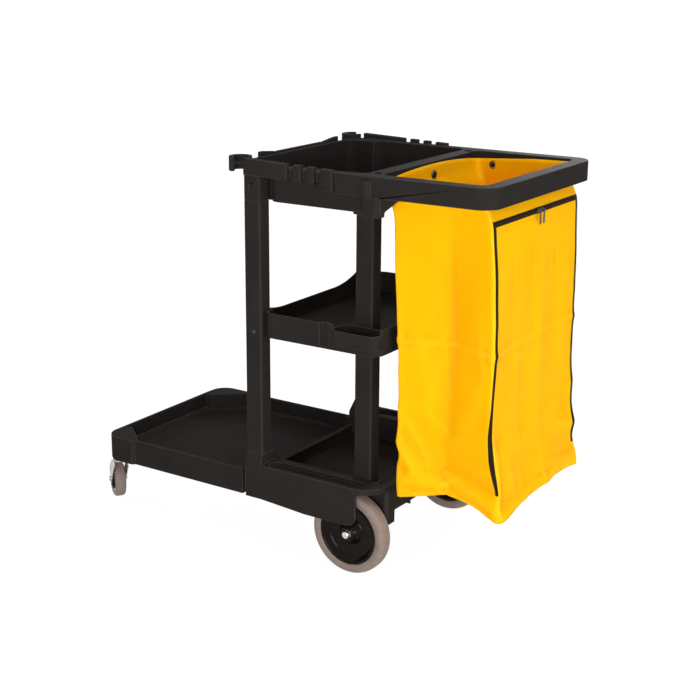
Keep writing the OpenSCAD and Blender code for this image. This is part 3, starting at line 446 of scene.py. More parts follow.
def plain_mesh(piece):
    """Turns a piece with modifiers into a plain mesh."""
    bpy.context.view_layer.update()
    evaluated = piece.evaluated_get(bpy.context.evaluated_depsgraph_get())
    mesh = bpy.data.meshes.new_from_object(evaluated)
    piece.modifiers.clear()
    old = piece.data
    piece.data = mesh
    bpy.data.meshes.remove(old)
    mesh.name = piece.name


def merged(node):
    """A copy of a CAD node's mesh with its loose triangles joined at their corners."""
    bm = bmesh.new()
    bm.from_mesh(frame["nodes"][node].data)
    bmesh.ops.remove_doubles(bm, verts=bm.verts[:], dist=0.01 * MM)
    return bm


def mark_edges(mesh):
    """Writes the mask of the paler edges, partly wear and partly a painted highlight: how sharply narrow strips
    turn from the faces at both long edges.
    """
    narrow = 2.4 * MM
    long_share = 0.4
    full_turn = math.radians(25)
    bm = bmesh.new()
    bm.from_mesh(mesh)
    wear = []
    for face in bm.faces:
        longest = max(edge.calc_length() for edge in face.edges)
        sides = [edge for edge in face.edges if edge.calc_length() > long_share * longest]
        turn = min(edge.calc_face_angle(0.0) for edge in sides)
        wear.append(min(1.0, turn / full_turn) if face.calc_area() / longest < narrow else 0.0)
    bm.free()
    mesh.attributes.new("edge_wear", "FLOAT", "FACE").data.foreach_set("value", wear)


def keep_close(mesh, surface, reach):
    """Draws points that the rounding threw off a surface back on to it."""
    for vert in mesh.vertices:
        place, _, _, distance = surface.find_nearest(vert.co)
        if distance > reach:
            vert.co = place


def rounded_copy(node, edge, steps=2):
    """A merged copy of a CAD node with rounded edges that stands for the node."""
    flat = math.radians(0.6)
    sharp = math.radians(32)
    bm = merged(node)
    bmesh.ops.join_triangles(bm, faces=bm.faces[:], angle_face_threshold=flat, angle_shape_threshold=math.pi)
    mesh = bpy.data.meshes.new(node + "_finished")
    bm.to_mesh(mesh)
    surface = BVHTree.FromBMesh(bm)
    bm.free()
    piece = new_piece(node + "_finished", mesh, finish_of(node))
    mesh.shade_smooth()
    add_modifier(piece, "Edges", "BEVEL", width=edge, segments=steps, limit_method="ANGLE", angle_limit=sharp,
                 use_clamp_overlap=False, miter_outer="MITER_ARC")
    add_modifier(piece, "Flat faces", "WEIGHTED_NORMAL", weight=80, keep_sharp=True)
    plain_mesh(piece)
    keep_close(piece.data, surface, edge)
    mark_edges(piece.data)
    stand_for(piece, node)


def round_corners(points, radius, steps=5):
    """A closed outline with each corner turned into an arc, limited by its neighbours."""
    most = 0.45
    made = []
    for i, here in enumerate(points):
        here = Vector(here)
        before = Vector(points[i - 1]) - here
        after = Vector(points[(i + 1) % len(points)]) - here
        reach = min(radius, before.length * most, after.length * most)
        start = here + before.normalized() * reach
        end = here + after.normalized() * reach
        for k in range(steps + 1):
            t = k / steps
            made.append(start * (1 - t) ** 2 + here * 2 * t * (1 - t) + end * t ** 2)
    return made


def band(name, rings, closed, material):
    """A solid through rings of equally many points, joined end to end where closed."""
    count = len(rings[0])
    verts = [tuple(point) for ring in rings for point in ring]
    faces = []
    for i in range(len(rings) if closed else len(rings) - 1):
        here, ahead = i * count, (i + 1) % len(rings) * count
        for k in range(count):
            j = (k + 1) % count
            faces.append((here + k, ahead + k, ahead + j, here + j))
    if not closed:
        faces.append(tuple(range(count)))
        faces.append(tuple(len(verts) - 1 - k for k in range(count)))
    mesh = bpy.data.meshes.new(name)
    mesh.from_pydata(verts, [], faces)
    bm = bmesh.new()
    bm.from_mesh(mesh)
    bmesh.ops.recalc_face_normals(bm, faces=bm.faces[:])
    bm.to_mesh(mesh)
    bm.free()
    mesh.shade_smooth()
    return new_piece(name, mesh, material)


def lathe(name, outline, centre, axis, turns, material):
    """A closed outline of (radius, along) points turned round an axis."""
    axis = Vector(axis).normalized()
    across = axis.orthogonal().normalized()
    third = axis.cross(across)
    rings = []
    for k in range(turns):
        angle = 2 * math.pi * k / turns
        spoke = across * math.cos(angle) + third * math.sin(angle)
        rings.append([centre + spoke * radius + axis * along for radius, along in outline])
    return band(name, rings, True, material)


def turned(node, outline, centre, axis, turns):
    """An outline turned round an axis that stands for a CAD node."""
    stand_for(lathe(node + "_finished", outline, centre, axis, turns, finish_of(node)), node)


def middle_of(node):
    low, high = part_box(node)
    return (low + high) / 2


def radius_of(node):
    low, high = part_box(node)
    return (high.z - low.z) / 2


def arc(centre, radius, start, end, steps):
    """Points on an arc of an outline, angles in degrees."""
    turns = [math.radians(start + (end - start) * k / steps) for k in range(steps + 1)]
    return [(centre[0] + radius * math.cos(t), centre[1] + radius * math.sin(t)) for t in turns]


def tyre_outline(bore, outer, width, shoulder):
    """Tyre with round shoulders, a mould line on its tread and a bead step beside the hub."""
    half = width / 2
    bead = bore + 0.12 * (outer - bore)
    step = 0.5 * MM
    seam = 0.25 * MM
    points = [(bore, step - half), (bead, step - half), (bead + step, -half)]
    points += arc((outer - shoulder, shoulder - half), shoulder, -90, 0, 12)
    points += [(outer, -2 * seam), (outer + seam, 0), (outer, 2 * seam)]
    points += arc((outer - shoulder, half - shoulder), shoulder, 0, 90, 12)
    points += [(bead + step, half), (bead, half - step), (bore, half - step)]
    return points


class CART_OT_mouldings(bpy.types.Operator):
    """Round the edges of the base, posts, shelf and tray and give them their plastic"""

    bl_idname = "cart.mouldings"
    bl_label = "Mouldings"

    def execute(self, context):
        edge = sizes().moulding_edge
        posts = [f"{place}_post_{side}" for place in ("front", "rear") for side in SIDES]
        for node in ("base_platform", "middle_shelf", "top_tray", *posts):
            rounded_copy(node, edge, 3)
        rounded_copy("bag_hooks", edge * 0.4)
        return {"FINISHED"}


class CART_OT_metalwork(bpy.types.Operator):
    """Round the edges of the axle, screws, washers and caps and plate them"""

    bl_idname = "cart.metalwork"
    bl_label = "Metalwork"

    def execute(self, context):
        casters = [f"caster_{part}_{side}" for side in SIDES for part in ("sleeve", "stem", "fork", "bolt")]
        for node in ("axle", "axle_washers", "axle_caps", "shelf_screws", *casters):
            rounded_copy(node, sizes().metal_edge)
        return {"FINISHED"}


def rear_wheel(side, sign, turns):
    tyre, hub, bushing = (f"{part}_{side}" for part in ("tyre", "wheel_hub", "wheel_bushing"))
    centre = middle_of(tyre)
    axis = (0, sign, 0)
    low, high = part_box(tyre)
    width = high.y - low.y
    rim = radius_of(hub)
    turned(tyre, tyre_outline(rim, radius_of(tyre), width, 12 * MM), centre, axis, turns)
    back, face = sorted(sign * (corner.y - centre.y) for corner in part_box(hub))
    bore = radius_of(bushing)
    boss = bore + 9 * MM
    lip = width / 2 - 2 * MM
    outline = [
        (bore, back), (boss, back), (boss + 3 * MM, -5 * MM), (rim - 12 * MM, 4 * MM - lip),
        (rim - 8 * MM, -lip), (rim, -lip), (rim, lip), (rim - 5 * MM, lip), (rim - 9 * MM, lip - 5 * MM),
        (rim - 18 * MM, 3 * MM), (boss + 14 * MM, 1 * MM), (boss + 3 * MM, face - 8 * MM),
        (boss - 2 * MM, face), (bore, face)]
    turned(hub, round_corners(outline, 4 * MM), centre, axis, turns)
    rounded_copy(bushing, 0.3 * MM)


class CART_OT_rear_wheels(bpy.types.Operator):
    """Turn the rear tyres, dished hubs and bushings"""

    bl_idname = "cart.rear_wheels"
    bl_label = "Rear wheels"

    def execute(self, context):
        for side, sign in SIDES.items():
            rear_wheel(side, sign, sizes().wheel_turns)
        return {"FINISHED"}


def caster_wheel(side, centre, axis, turns):
    tread, hub = f"caster_tread_{side}", f"caster_hub_{side}"
    rim = radius_of(hub)
    width = 30 * MM
    turned(tread, tyre_outline(rim, radius_of(tread), width, 9 * MM), centre, axis, turns)
    bore = 4.05 * MM
    boss = width / 2 + 2.7 * MM
    lip = width / 2 - 2 * MM
    outline = [
        (bore, -boss), (bore + 6 * MM, -boss), (bore + 8 * MM, -6 * MM), (rim - 8 * MM, -5 * MM),
        (rim - 4 * MM, -lip), (rim, -lip), (rim, lip), (rim - 4 * MM, lip), (rim - 8 * MM, 5 * MM),
        (bore + 8 * MM, 6 * MM), (bore + 6 * MM, boss), (bore, boss)]
    turned(hub, round_corners(outline, 2.5 * MM), centre, axis, turns)


class CART_OT_caster_wheels(bpy.types.Operator):
    """Turn the caster treads and hubs"""

    bl_idname = "cart.caster_wheels"
    bl_label = "Caster wheels"

    def execute(self, context):
        spins = {joint["name"]: joint for joint in frame["joints"]}
        for side in SIDES:
            spin = spins[f"caster_{side}_spin"]
            caster_wheel(side, Vector(spin["pos_m"]), Vector(spin["axis"]), sizes().wheel_turns * 2 // 3)
        return {"FINISHED"}


def smooth(value):
    """0 to 1 with soft ends."""
    value = np.clip(value, 0.0, 1.0)
    return value * value * (3 - 2 * value)


def along(table, z):
    """A value between the points of a table of heights and values in millimetres."""
    heights, values = zip(*table)
    return np.interp(z, np.array(heights) * MM, np.array(values) * MM)


class BagShape:
    """The hanging bag as a grid: columns round its girth, rows from its mouth down to its foot."""

    # The folds of the girth: columns up to the next fold, then millimetres that the foot hangs above the
    # bag's bottom there, and that the mouth's edge hangs below its hooks
    FOLDS = {
        "front_left": (26, 10, 12), "left_fold": (26, 34, 2), "rear_left": (56, 4, 2),
        "rear_right": (26, 10, 1), "right_fold": (26, 26, 1), "front_right": (50, 8, 14)}
    ROWS = 113
    FLOOR_RINGS = 14
    # How far the front and the end face's two corners swing out by height, in millimetres
    FRONT_SWING = ((205, 28), (400, 23), (580, 17), (690, 11), (893, 0))
    REAR_SWING = (
        (205, 42), (285, 38), (350, 24), (409, 14), (460, 16), (620, 16), (780, 9), (860, 1), (893, 0))
    FAR_SWING = ((205, 30), (300, 22), (420, 12), (600, 6), (893, 0))
    # How deep the sides fold in by height, in millimetres, at the deepest gusset
    FOLD_DEPTH = ((205, 22), (234, 24), (414, 38), (588, 56), (771, 30), (880, 12))
    DEEPEST_FOLD = 56 * MM
    END_ARCH = 12 * MM
    NECK = 35 * MM
    BASE_GAP = 5 * MM
    BAND_INSET = 18 * MM
    FOLD_INSET = 109 * MM
    SIDE_INSET = 2.5 * MM
    HEM_INSET = 2 * MM

    def __init__(self):
        self.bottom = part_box("bag_body")[0].z
        self.hem_low, self.hem_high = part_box("bag_hem")
        zip_low, zip_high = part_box("zip_tape")
        self.zip_foot = zip_low.z
        self.zip_top = middle_of("zip_slider_left").z
        self.shoulder = zip_high.z
        self.mouth = self.hem_high.z
        self.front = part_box("base_platform")[1].x + self.BASE_GAP
        self.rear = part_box("top_tray")[1].x - self.BAND_INSET
        self.fold = self.rear - self.FOLD_INSET
        self.half = self.hem_high.y - self.SIDE_INSET

    def outline_points(self, z):
        """The six folds of the girth at height z, as x and y."""
        depth = along(self.FOLD_DEPTH, z) * sizes().gusset_depth / self.DEEPEST_FOLD
        rise = smooth((z - self.shoulder) / self.NECK)

        def drawn(place, hem):
            """A place that moves on to the hem over the neck."""
            return place + rise * (hem - place)

        rear_hem = self.hem_high.x - self.HEM_INSET
        front = drawn(self.front + along(self.FRONT_SWING, z), self.hem_low.x + self.HEM_INSET)
        rear = drawn(self.rear + along(self.REAR_SWING, z), rear_hem)
        far = drawn(self.rear + along(self.FAR_SWING, z), rear_hem)
        half = drawn(self.half, self.hem_high.y - self.HEM_INSET)
        return {
            "front_left": (front, -half), "left_fold": (self.fold, depth - half), "rear_left": (rear, -half),
            "rear_right": (far, half), "right_fold": (self.fold, half - depth), "front_right": (front, half)}

    def grid(self):
        """Points of the walls, rows by columns by xyz."""
        rows = []
        names = list(self.FOLDS)
        for t in np.linspace(0, 1, self.ROWS):
            level = []
            for start, end in zip(names, names[1:] + names[:1]):
                count, *here = self.FOLDS[start]
                _, *there = self.FOLDS[end]
                share = np.arange(count) / count
                lift, drop = ((a * (1 - share) + b * share) * MM for a, b in zip(here, there))
                if start == "rear_left":
                    lift = lift + 4 * self.END_ARCH * share * (1 - share)
                if start == "front_right":
                    drop = drop * (1 - 4 * share * (1 - share))
                for s, z_foot, z_top in zip(share, self.bottom + lift, self.mouth - drop):
                    z = z_top + (z_foot - z_top) * t
                    points = self.outline_points(z)
                    a = np.array(points[start])
                    b = np.array(points[end])
                    level.append((*(a + (b - a) * s), z))
            rows.append(level)
        return self.soften(np.array(rows))

    @staticmethod
    def soften(grid):
        """Rounds the folds along the girth, and the bends between heights below the mouth."""
        for _ in range(3):
            beside = (np.roll(grid, 1, axis=1) + np.roll(grid, -1, axis=1)) / 2
            grid = grid + 0.5 * (beside - grid)
        for _ in range(12):
            middle = (grid[:-2] + grid[2:]) / 2
            grid[1:-1] += 0.5 * (middle - grid[1:-1])
        return grid

    def column_of(self, fold):
        """The column that a fold begins at."""
        names = list(self.FOLDS)
        return sum(self.FOLDS[name][0] for name in names[:names.index(fold)])


def waves(points, span, seed, octaves=3):
    """Smooth seeded noise between about -1 and 1 at points, from sums of plane waves."""
    made = np.zeros(points.shape[:-1])
    random = np.random.default_rng(seed)
    for octave in range(octaves):
        for _ in range(5):
            way = random.normal(size=3)
            way /= np.linalg.norm(way)
            phase = random.uniform(0, 2 * math.pi)
            made += np.sin(points @ way * 2 * math.pi * 2 ** octave / span + phase) / 2 ** octave
    return made / 4.5


def grid_normals(grid):
    """Outward directions of a closed girth grid."""
    beside = np.roll(grid, -1, axis=1) - np.roll(grid, 1, axis=1)
    normal = np.cross(np.gradient(grid, axis=0), beside)
    return normal / np.maximum(np.linalg.norm(normal, axis=2, keepdims=True), 1e-9)


def girth_faces(rows, columns):
    """Four-sided faces between the rows of a closed girth grid."""
    return [(r * columns + c, (r + 1) * columns + c, (r + 1) * columns + (c + 1) % columns,
             r * columns + (c + 1) % columns) for r in range(rows - 1) for c in range(columns)]


def creased(bag, grid):
    """Adds packing creases, soft waves and the crumples at the foot to the bag's walls."""
    wave_depth, fold_depth, wrinkle_depth, line_depth = 1.4 * MM, 4.5 * MM, 1.6 * MM, 1.5 * MM
    x, y, z = np.moveaxis(grid, 2, 0)
    height = (z - bag.bottom) / (bag.zip_top - bag.bottom)
    free = smooth((0.93 - height) / 0.14)
    shift = wave_depth * waves(grid, 0.42, 3, 2) * free
    fold_height = 0.575 + 0.008 * waves(grid, 0.5, 8, 1)
    shift += fold_depth * np.exp(-np.abs(height - fold_height) / 0.014) * free
    shift += wrinkle_depth * (1 - 2 * np.abs(waves(grid, 0.24, 13, 2))) * free
    slant = np.stack([x + 0.8 * z, y * 0.6, 0.35 * z], axis=2)
    ridges = 1 - 2.4 * np.abs(waves(slant, 0.19, 5, 2))
    shift += sizes().crumple * smooth((0.44 - height) / 0.3) * ridges
    first, last = bag.column_of("rear_left"), bag.column_of("rear_right")
    across = (np.arange(grid.shape[1]) - first) / (last - first)
    for place in (0.30, 0.56):
        line = np.exp(-np.abs(across - place) * 40)
        shift += line_depth * line[None, :] * smooth((0.62 - height) / 0.2) * free
    return grid + grid_normals(grid) * shift[..., None]


CLOTH_SETTINGS = {
    "quality": 6,
    "mass": 0.4,
    "tension_stiffness": 30,
    "compression_stiffness": 30,
    "shear_stiffness": 12,
    "bending_stiffness": 6,
    "vertex_group_mass": "held",
    "shrink_min": -0.006,
}
CLOTH_GRAVITY = 0.5
CLOTH_FRAMES = 24


def settled(bag, grid):
    """Lets the cloth sag and buckle a little, held at its mouth, zip and foot, on every second point."""
    coarse = grid[::2, ::2]
    rows, columns = coarse.shape[:2]
    mesh = bpy.data.meshes.new("settling")
    mesh.from_pydata(coarse.reshape(-1, 3).tolist(), [], girth_faces(rows, columns))
    piece = linked("settling", mesh)
    scene = bpy.context.scene
    held = piece.vertex_groups.new(name="held")
    depth = bag.zip_top - coarse[..., 2]
    rise = coarse[..., 2] - coarse[-1][..., 2]
    grip = np.maximum(smooth(1.3 - depth / (140 * MM)), 0.7 * smooth(1 - rise / (30 * MM)))
    for index, weight in enumerate(grip.ravel()):
        held.add([index], float(weight), "REPLACE")
    cloth = piece.modifiers.new("Cloth", "CLOTH")
    for name, value in CLOTH_SETTINGS.items():
        setattr(cloth.settings, name, value)
    cloth.settings.effector_weights.gravity = CLOTH_GRAVITY
    cloth.point_cache.frame_end = CLOTH_FRAMES
    for step in range(1, CLOTH_FRAMES + 1):
        scene.frame_set(step)
    evaluated = piece.evaluated_get(bpy.context.evaluated_depsgraph_get())
    points = np.empty(rows * columns * 3)
    evaluated.data.vertices.foreach_get("co", points)
    bpy.data.objects.remove(piece)
    bpy.data.meshes.remove(mesh)
    scene.frame_set(1)
    shift = points.reshape(rows, columns, 3) - coarse
    reach = np.linalg.norm(shift, axis=2, keepdims=True)
    shift *= np.minimum(1, sizes().settle_cap / np.maximum(reach, 1e-9))
    fine = np.zeros_like(grid)
    fine[::2, ::2] = shift
    fine[::2, 1::2] = (shift + np.roll(shift, -1, axis=1)) / 2
    fine[1::2] = (fine[:-2:2] + fine[2::2]) / 2
    return grid + fine


class Surface:
    """Finds places on the bag's walls by fractional row and column."""

    def __init__(self, grid):
        self.grid = grid
        self.normal = grid_normals(grid)

    def between(self, field, row, column):
        rows, columns = self.grid.shape[:2]
        row = np.clip(row, 0, rows - 1.001)
        r = np.floor(row).astype(int)
        c = np.floor(column).astype(int)
        down = (row - r)[..., None]
        on = (column - c)[..., None]
        c, d = c % columns, (c + 1) % columns
        return ((field[r, c] * (1 - on) + field[r, d] * on) * (1 - down)
                + (field[r + 1, c] * (1 - on) + field[r + 1, d] * on) * down)

    def at(self, row, column, lift=0.0):
        """Points a lift above the walls, and the outward directions there."""
        normal = self.between(self.normal, row, column)
        normal = normal / np.linalg.norm(normal, axis=-1, keepdims=True)
        return self.between(self.grid, row, column) + normal * lift, normal

    def below_mouth(self, down, lift):
        """Points all round a distance below the mouth's edge, and the outward directions there."""
        fall = np.linalg.norm(self.grid[1] - self.grid[0], axis=1)
        return self.at(down / fall, np.arange(self.grid.shape[1], dtype=float), lift)

    def row_at(self, z, column):
        """The row where a column passes a height."""
        heights = self.grid[:, int(round(column)) % self.grid.shape[1], 2]
        return float(np.interp(-z, -heights, np.arange(len(heights))))


class ZipPath:
    """The zip's three-sided run on the bag's end face, as rows and columns of the bag's grid."""

    # Columns between the upright runs and the face's corners, and those that the left run wanders at its foot
    CORNER_INSET = 1.1
    WANDER = 2.4
    FOOT_GAP = 20 * MM
    UPRIGHT_STEPS = 90
    TOP_STEPS = 60

    def __init__(self, bag, surface):
        self.surface = surface
        self.left = bag.column_of("rear_left") + self.CORNER_INSET
        self.right = bag.column_of("rear_right") - self.CORNER_INSET
        self.top = bag.zip_top
        self.foot = bag.zip_foot + self.FOOT_GAP
        middle = int(self.left + self.right) // 2
        row = int(surface.row_at(self.top, middle))
        grid = surface.grid
        self.per_row = 1 / np.linalg.norm(grid[row + 1, middle] - grid[row, middle])
        self.per_column = 1 / np.linalg.norm(grid[row, middle + 1] - grid[row, middle])

    def side(self, out):
        """Rows and columns of the whole run, moved outwards on the face."""
        row_at = self.surface.row_at
        wide = out * self.per_column
        high = out * self.per_row
        steps = self.UPRIGHT_STEPS
        share = np.linspace(0, 1, self.TOP_STEPS)[1:-1]
        across = self.left - wide + share * (self.right - self.left + 2 * wide)
        low_down = smooth((np.linspace(1, 0, steps) - 0.45) / 0.5)
        rows = [
            np.linspace(row_at(self.foot, self.left), row_at(self.top, self.left) - high, steps),
            [row_at(self.top, column) - high for column in across],
            np.linspace(row_at(self.top, self.right) - high, row_at(self.foot, self.right), steps)]
        columns = [self.left - wide - self.WANDER * low_down, across, np.full(steps, self.right + wide)]
        return np.concatenate(rows), np.concatenate(columns)

    def line(self, out, lift):
        return self.surface.at(*self.side(out), lift)


def beads_tree():
    """Geometry nodes that lay rounded beads along a path, for stitches and the turns of a coil."""
    tree = bpy.data.node_groups.get("beads")
    if tree:
        return tree
    tree = bpy.data.node_groups.new("beads", "GeometryNodeTree")
    for name, way, kind in (
            ("Path", "INPUT", "Geometry"), ("Pitch", "INPUT", "Float"), ("Bead size", "INPUT", "Vector"),
            ("Finish", "INPUT", "Material"), ("Beads", "OUTPUT", "Geometry")):
        tree.interface.new_socket(name, in_out=way, socket_type="NodeSocket" + kind)
    graph = Graph(tree)
    node = graph.node
    path, pitch, size, finish = graph.outputs("NodeGroupInput", "Path", "Pitch", "Bead size", "Finish")
    path = node("GeometryNodeMeshToCurve", {}, {"Mesh": path})
    even = node("GeometryNodeResampleCurve", {"mode": "LENGTH"}, {"Curve": path, "Length": pitch})
    bead = node("GeometryNodeMeshUVSphere", {}, {"Segments": 8, "Rings": 4, "Radius": 0.5})
    lift = node("GeometryNodeInputNamedAttribute", {"data_type": "FLOAT_VECTOR"}, {"Name": "lift"})
    turn = node("FunctionNodeAlignRotationToVector", {"axis": "X"}, {
        "Vector": node("GeometryNodeInputTangent")})
    turn = node("FunctionNodeAlignRotationToVector", {"axis": "Z", "pivot_axis": "X"}, {
        "Rotation": turn, "Vector": lift})
    laid = node("GeometryNodeInstanceOnPoints", {}, {
        "Points": even, "Instance": bead, "Rotation": turn, "Scale": size})
    solid = node("GeometryNodeRealizeInstances", {}, {"Geometry": laid})
    rounded = node("GeometryNodeSetShadeSmooth", {}, {"Geometry": solid})
    finished = node("GeometryNodeSetMaterial", {}, {"Geometry": rounded, "Material": finish})
    node("NodeGroupOutput", {}, {"Beads": finished})
    return tree


def beads(name, lines, closed, pitch, bead, material):
    """Beads of a size (along, across, up) on lines of points with outward directions."""
    verts, lifts, edges = [], [], []
    for points, normals in lines:
        start = len(verts)
        verts += points.tolist()
        lifts += normals.tolist()
        edges += [(start + i, start + i + 1) for i in range(len(points) - 1)]
        if closed:
            edges.append((len(verts) - 1, start))
    mesh = bpy.data.meshes.new(name)
    mesh.from_pydata(verts, edges, [])
    layer = mesh.attributes.new("lift", "FLOAT_VECTOR", "POINT")
    layer.data.foreach_set("vector", np.array(lifts).ravel())
    piece = new_piece(name, mesh, material)
    tree = beads_tree()
    laid = add_modifier(piece, "Beads", "NODES", node_group=tree)
    values = {"Pitch": pitch, "Bead size": bead, "Finish": material}
    for item in tree.interface.items_tree:
        if item.name in values:
            laid[item.identifier] = values[item.name]
    plain_mesh(piece)
    return piece


def bag_mesh(bag, grid):
    """Walls and floor of the bag as one open-topped sheet, with the flat cloth as its UV map."""
    columns = grid.shape[1]
    girth = np.linalg.norm(np.roll(grid, -1, axis=1) - grid, axis=2)[0].cumsum()
    girth = np.concatenate([[0], girth])
    fall = np.concatenate([[0], np.linalg.norm(np.diff(grid[:, 0], axis=0), axis=1).cumsum()])
    levels = list(zip(fall[:-1], fall[1:]))
    rings = list(grid)
    rim = grid[-1]
    centre = rim.mean(axis=0)
    spine = np.stack([np.full(columns, centre[0]), centre[1] + 0.42 * (rim[:, 1] - centre[1]),
                      np.full(columns, rim[:, 2].min() + 4 * MM)], axis=1)
    for k in range(1, bag.FLOOR_RINGS + 1):
        share = k / (bag.FLOOR_RINGS + 0.6)
        ring = rim + (spine - rim) * share
        ring[:, 2] += 3 * MM * waves(ring, 0.15, 21)
        rings.append(ring)
        levels.append((fall[-1] + share, fall[-1] + share))
    faces = girth_faces(len(rings), columns)
    flat = [(girth[c + ahead], v) for above, below in levels for c in range(columns)
            for ahead, v in ((0, above), (0, below), (1, below), (1, above))]
    inmost = (len(rings) - 1) * columns
    faces.append(tuple(inmost + c for c in range(columns - 1, -1, -1)))
    flat += [(girth[c], fall[-1] + 1) for c in range(columns - 1, -1, -1)]
    mesh = bpy.data.meshes.new("bag")
    mesh.from_pydata([tuple(point) for ring in rings for point in ring], [], faces)
    mesh.uv_layers.new(name="cloth").data.foreach_set("uv", np.array(flat, np.float32).ravel())
    mesh.shade_smooth()
    return mesh


def mark_creases(mesh):
    """Writes how sharply the cloth turns as the attribute crease, and how far it dips in as the mask of the
    painted shade in hollows.
    """
    sharp = math.radians(40)
    deep = 0.7 * MM
    bm = bmesh.new()
    bm.from_mesh(mesh)
    turns = [max(edge.calc_face_angle(0.0) for edge in vert.link_edges) for vert in bm.verts]
    crease = [min(1.0, turn / sharp) for turn in turns]
    rings = [[edge.other_vert(vert) for edge in vert.link_edges] for vert in bm.verts]
    dents = [(sum((other.co for other in ring), Vector()) / len(ring) - vert.co).dot(vert.normal) / deep
             for vert, ring in zip(bm.verts, rings)]
    hollow = [min(1.0, max(0.0, (dents[vert.index] + sum(dents[other.index] for other in ring))
                           * 2 / (1 + len(ring)))) for vert, ring in zip(bm.verts, rings)]
    bm.free()
    for name, values in (("crease", crease), ("hollow", hollow)):
        mesh.attributes.new(name, "FLOAT", "POINT").data.foreach_set("value", values)


def islands(node):
    """Middles, thinnest directions and extents of the separate solids of a CAD node."""
    bm = merged(node)
    left = set(bm.verts)
    found = []
    while left:
        reached, todo = set(), [left.pop()]
        while todo:
            vert = todo.pop()
            reached.add(vert)
            for edge in vert.link_edges:
                other = edge.other_vert(vert)
                if other in left:
                    left.discard(other)
                    todo.append(other)
        points = np.array([vert.co[:] for vert in reached])
        low, high = points.min(axis=0), points.max(axis=0)
        found.append((Vector((low + high) / 2), int(np.argmin(high - low)), high - low))
    bm.free()
    return sorted(found, key=lambda island: tuple(island[0]))


def bag_walls(bag, grid):
    mesh = bag_mesh(bag, grid)
    piece = new_piece("bag", mesh, finish_of("bag_body"))
    mark_creases(mesh)
    add_modifier(piece, "Cloth", "SOLIDIFY", thickness=sizes().bag_cloth, offset=-1)
    plain_mesh(piece)
    stand_for(piece, "bag_body")
    return piece


def turned_hem(surface):
    """Vinyl turned over the mouth's edge and sewn down outside."""
    depth = 14 * MM
    # Shares of the depth below the mouth's edge, and millimetres outwards
    profile = ((0.0, -1.6), (-0.12, -0.6), (-0.12, 0.6), (0.05, 1.2), (0.5, 1.1), (0.9, 1.1), (1.0, 0.5),
               (1.0, -0.3), (0.5, -0.3))
    lines = []
    for down, lift in profile:
        points, _ = surface.below_mouth(max(down, 0) * depth, lift * MM)
        points[:, 2] -= min(down, 0) * depth
        lines.append(points)
    piece = band("bag_hem_turned", np.stack(lines, axis=1), True, finish_of("bag_hem"))
    stand_for(piece, "bag_hem")
    return piece


def hem_stitches(surface):
    line = surface.below_mouth(10.5 * MM, 1.3 * MM)
    piece = beads("bag_hem_stitches", [line], True, sizes().stitch_pitch, (3.4 * MM, 0.8 * MM, 0.6 * MM),
                  once("hem_thread", sewing_thread))
    with_body(piece, "bag_hem")
    return piece


def zip_run(bag, surface):
    """Tape, coil and the stitches that sew the tape to the bag."""
    path = ZipPath(bag, surface)
    half = sizes().tape_width / 2
    # Shares of half the tape's width, and millimetres outwards
    profile = ((-1, -0.2), (-1, 0.5), (-0.8, 0.8), (-0.3, 0.8), (0, 1.0), (0.3, 0.8), (0.8, 0.8),
               (1, 0.5), (1, -0.2), (0, -0.2))
    lines = [path.line(out * half, lift * MM)[0] for out, lift in profile]
    tape = band("zip_tape_woven", np.stack(lines, axis=1), False, finish_of("zip_tape"))
    stand_for(tape, "zip_tape")
    coil = beads("zip_coil", [path.line(0, 1.5 * MM)], False, sizes().coil_pitch,
                 (1.7 * MM, 4.6 * MM, 1.6 * MM), once("coil", coil_plastic))
    stand_for(coil, "zip_chain")
    rows = [path.line(side * half * 0.72, 1.0 * MM) for side in (-1, 1)]
    stitches = beads("zip_stitches", rows, False, sizes().stitch_pitch * 0.8,
                     (2.7 * MM, 0.7 * MM, 0.6 * MM), once("dark_thread", dark_thread))
    with_body(stitches, "zip_tape")
    return tape, coil, stitches


def eyelets():
    """Rolled eyelet rings round the pegs."""
    rings = []
    for middle, thin, extent in islands("bag_grommets"):
        radius = max(extent) / 2
        bore = radius - 4.2 * MM
        back = -0.6 * MM
        outline = [(bore, 0), *arc((radius - 2.4 * MM, 0.3 * MM), 2.2 * MM, 180, 20, 10)]
        outline += [(radius, -0.4 * MM), (radius - 1 * MM, back), (bore, back)]
        axis = Vector((0, 0, 0))
        axis[thin] = -1.0 if middle[thin] > middle_of("bag_hem")[thin] else 1.0
        rings.append(lathe("eyelet", outline, middle, axis, 40, finish_of("bag_grommets")))
    piece = rings[0]
    joined = bmesh.new()
    for ring in rings:
        joined.from_mesh(ring.data)
    joined.to_mesh(piece.data)
    joined.free()
    for ring in rings[1:]:
        bpy.data.objects.remove(ring)
    piece.name = "bag_eyelets"
    piece.data.shade_smooth()
    stand_for(piece, "bag_grommets")


class CART_OT_bag(bpy.types.Operator):
    """Hang the vinyl bag in the handle, with its hem, grommets, zip and stitches"""

    bl_idname = "cart.bag"
    bl_label = "Bag"

    def execute(self, context):
        bag = BagShape()
        cut = bag.grid()
        grid = creased(bag, cut)
        grid = settled(bag, grid)
        walls = bag_walls(bag, grid)
        surface = Surface(grid)
        trim = [turned_hem(surface), *zip_run(bag, surface), hem_stitches(surface)]
        eyelets()
        for side in SIDES:
            for part in ("slider", "pull"):
                rounded_copy(f"zip_{part}_{side}", 0.35 * MM)
        girth = np.linalg.norm(np.roll(cut, -1, axis=1) - cut, axis=2).sum(axis=1).max()
        fall = np.linalg.norm(np.diff(cut[:, 0], axis=0), axis=1).sum() + (bag.rear - bag.front)
        return {"FINISHED"}


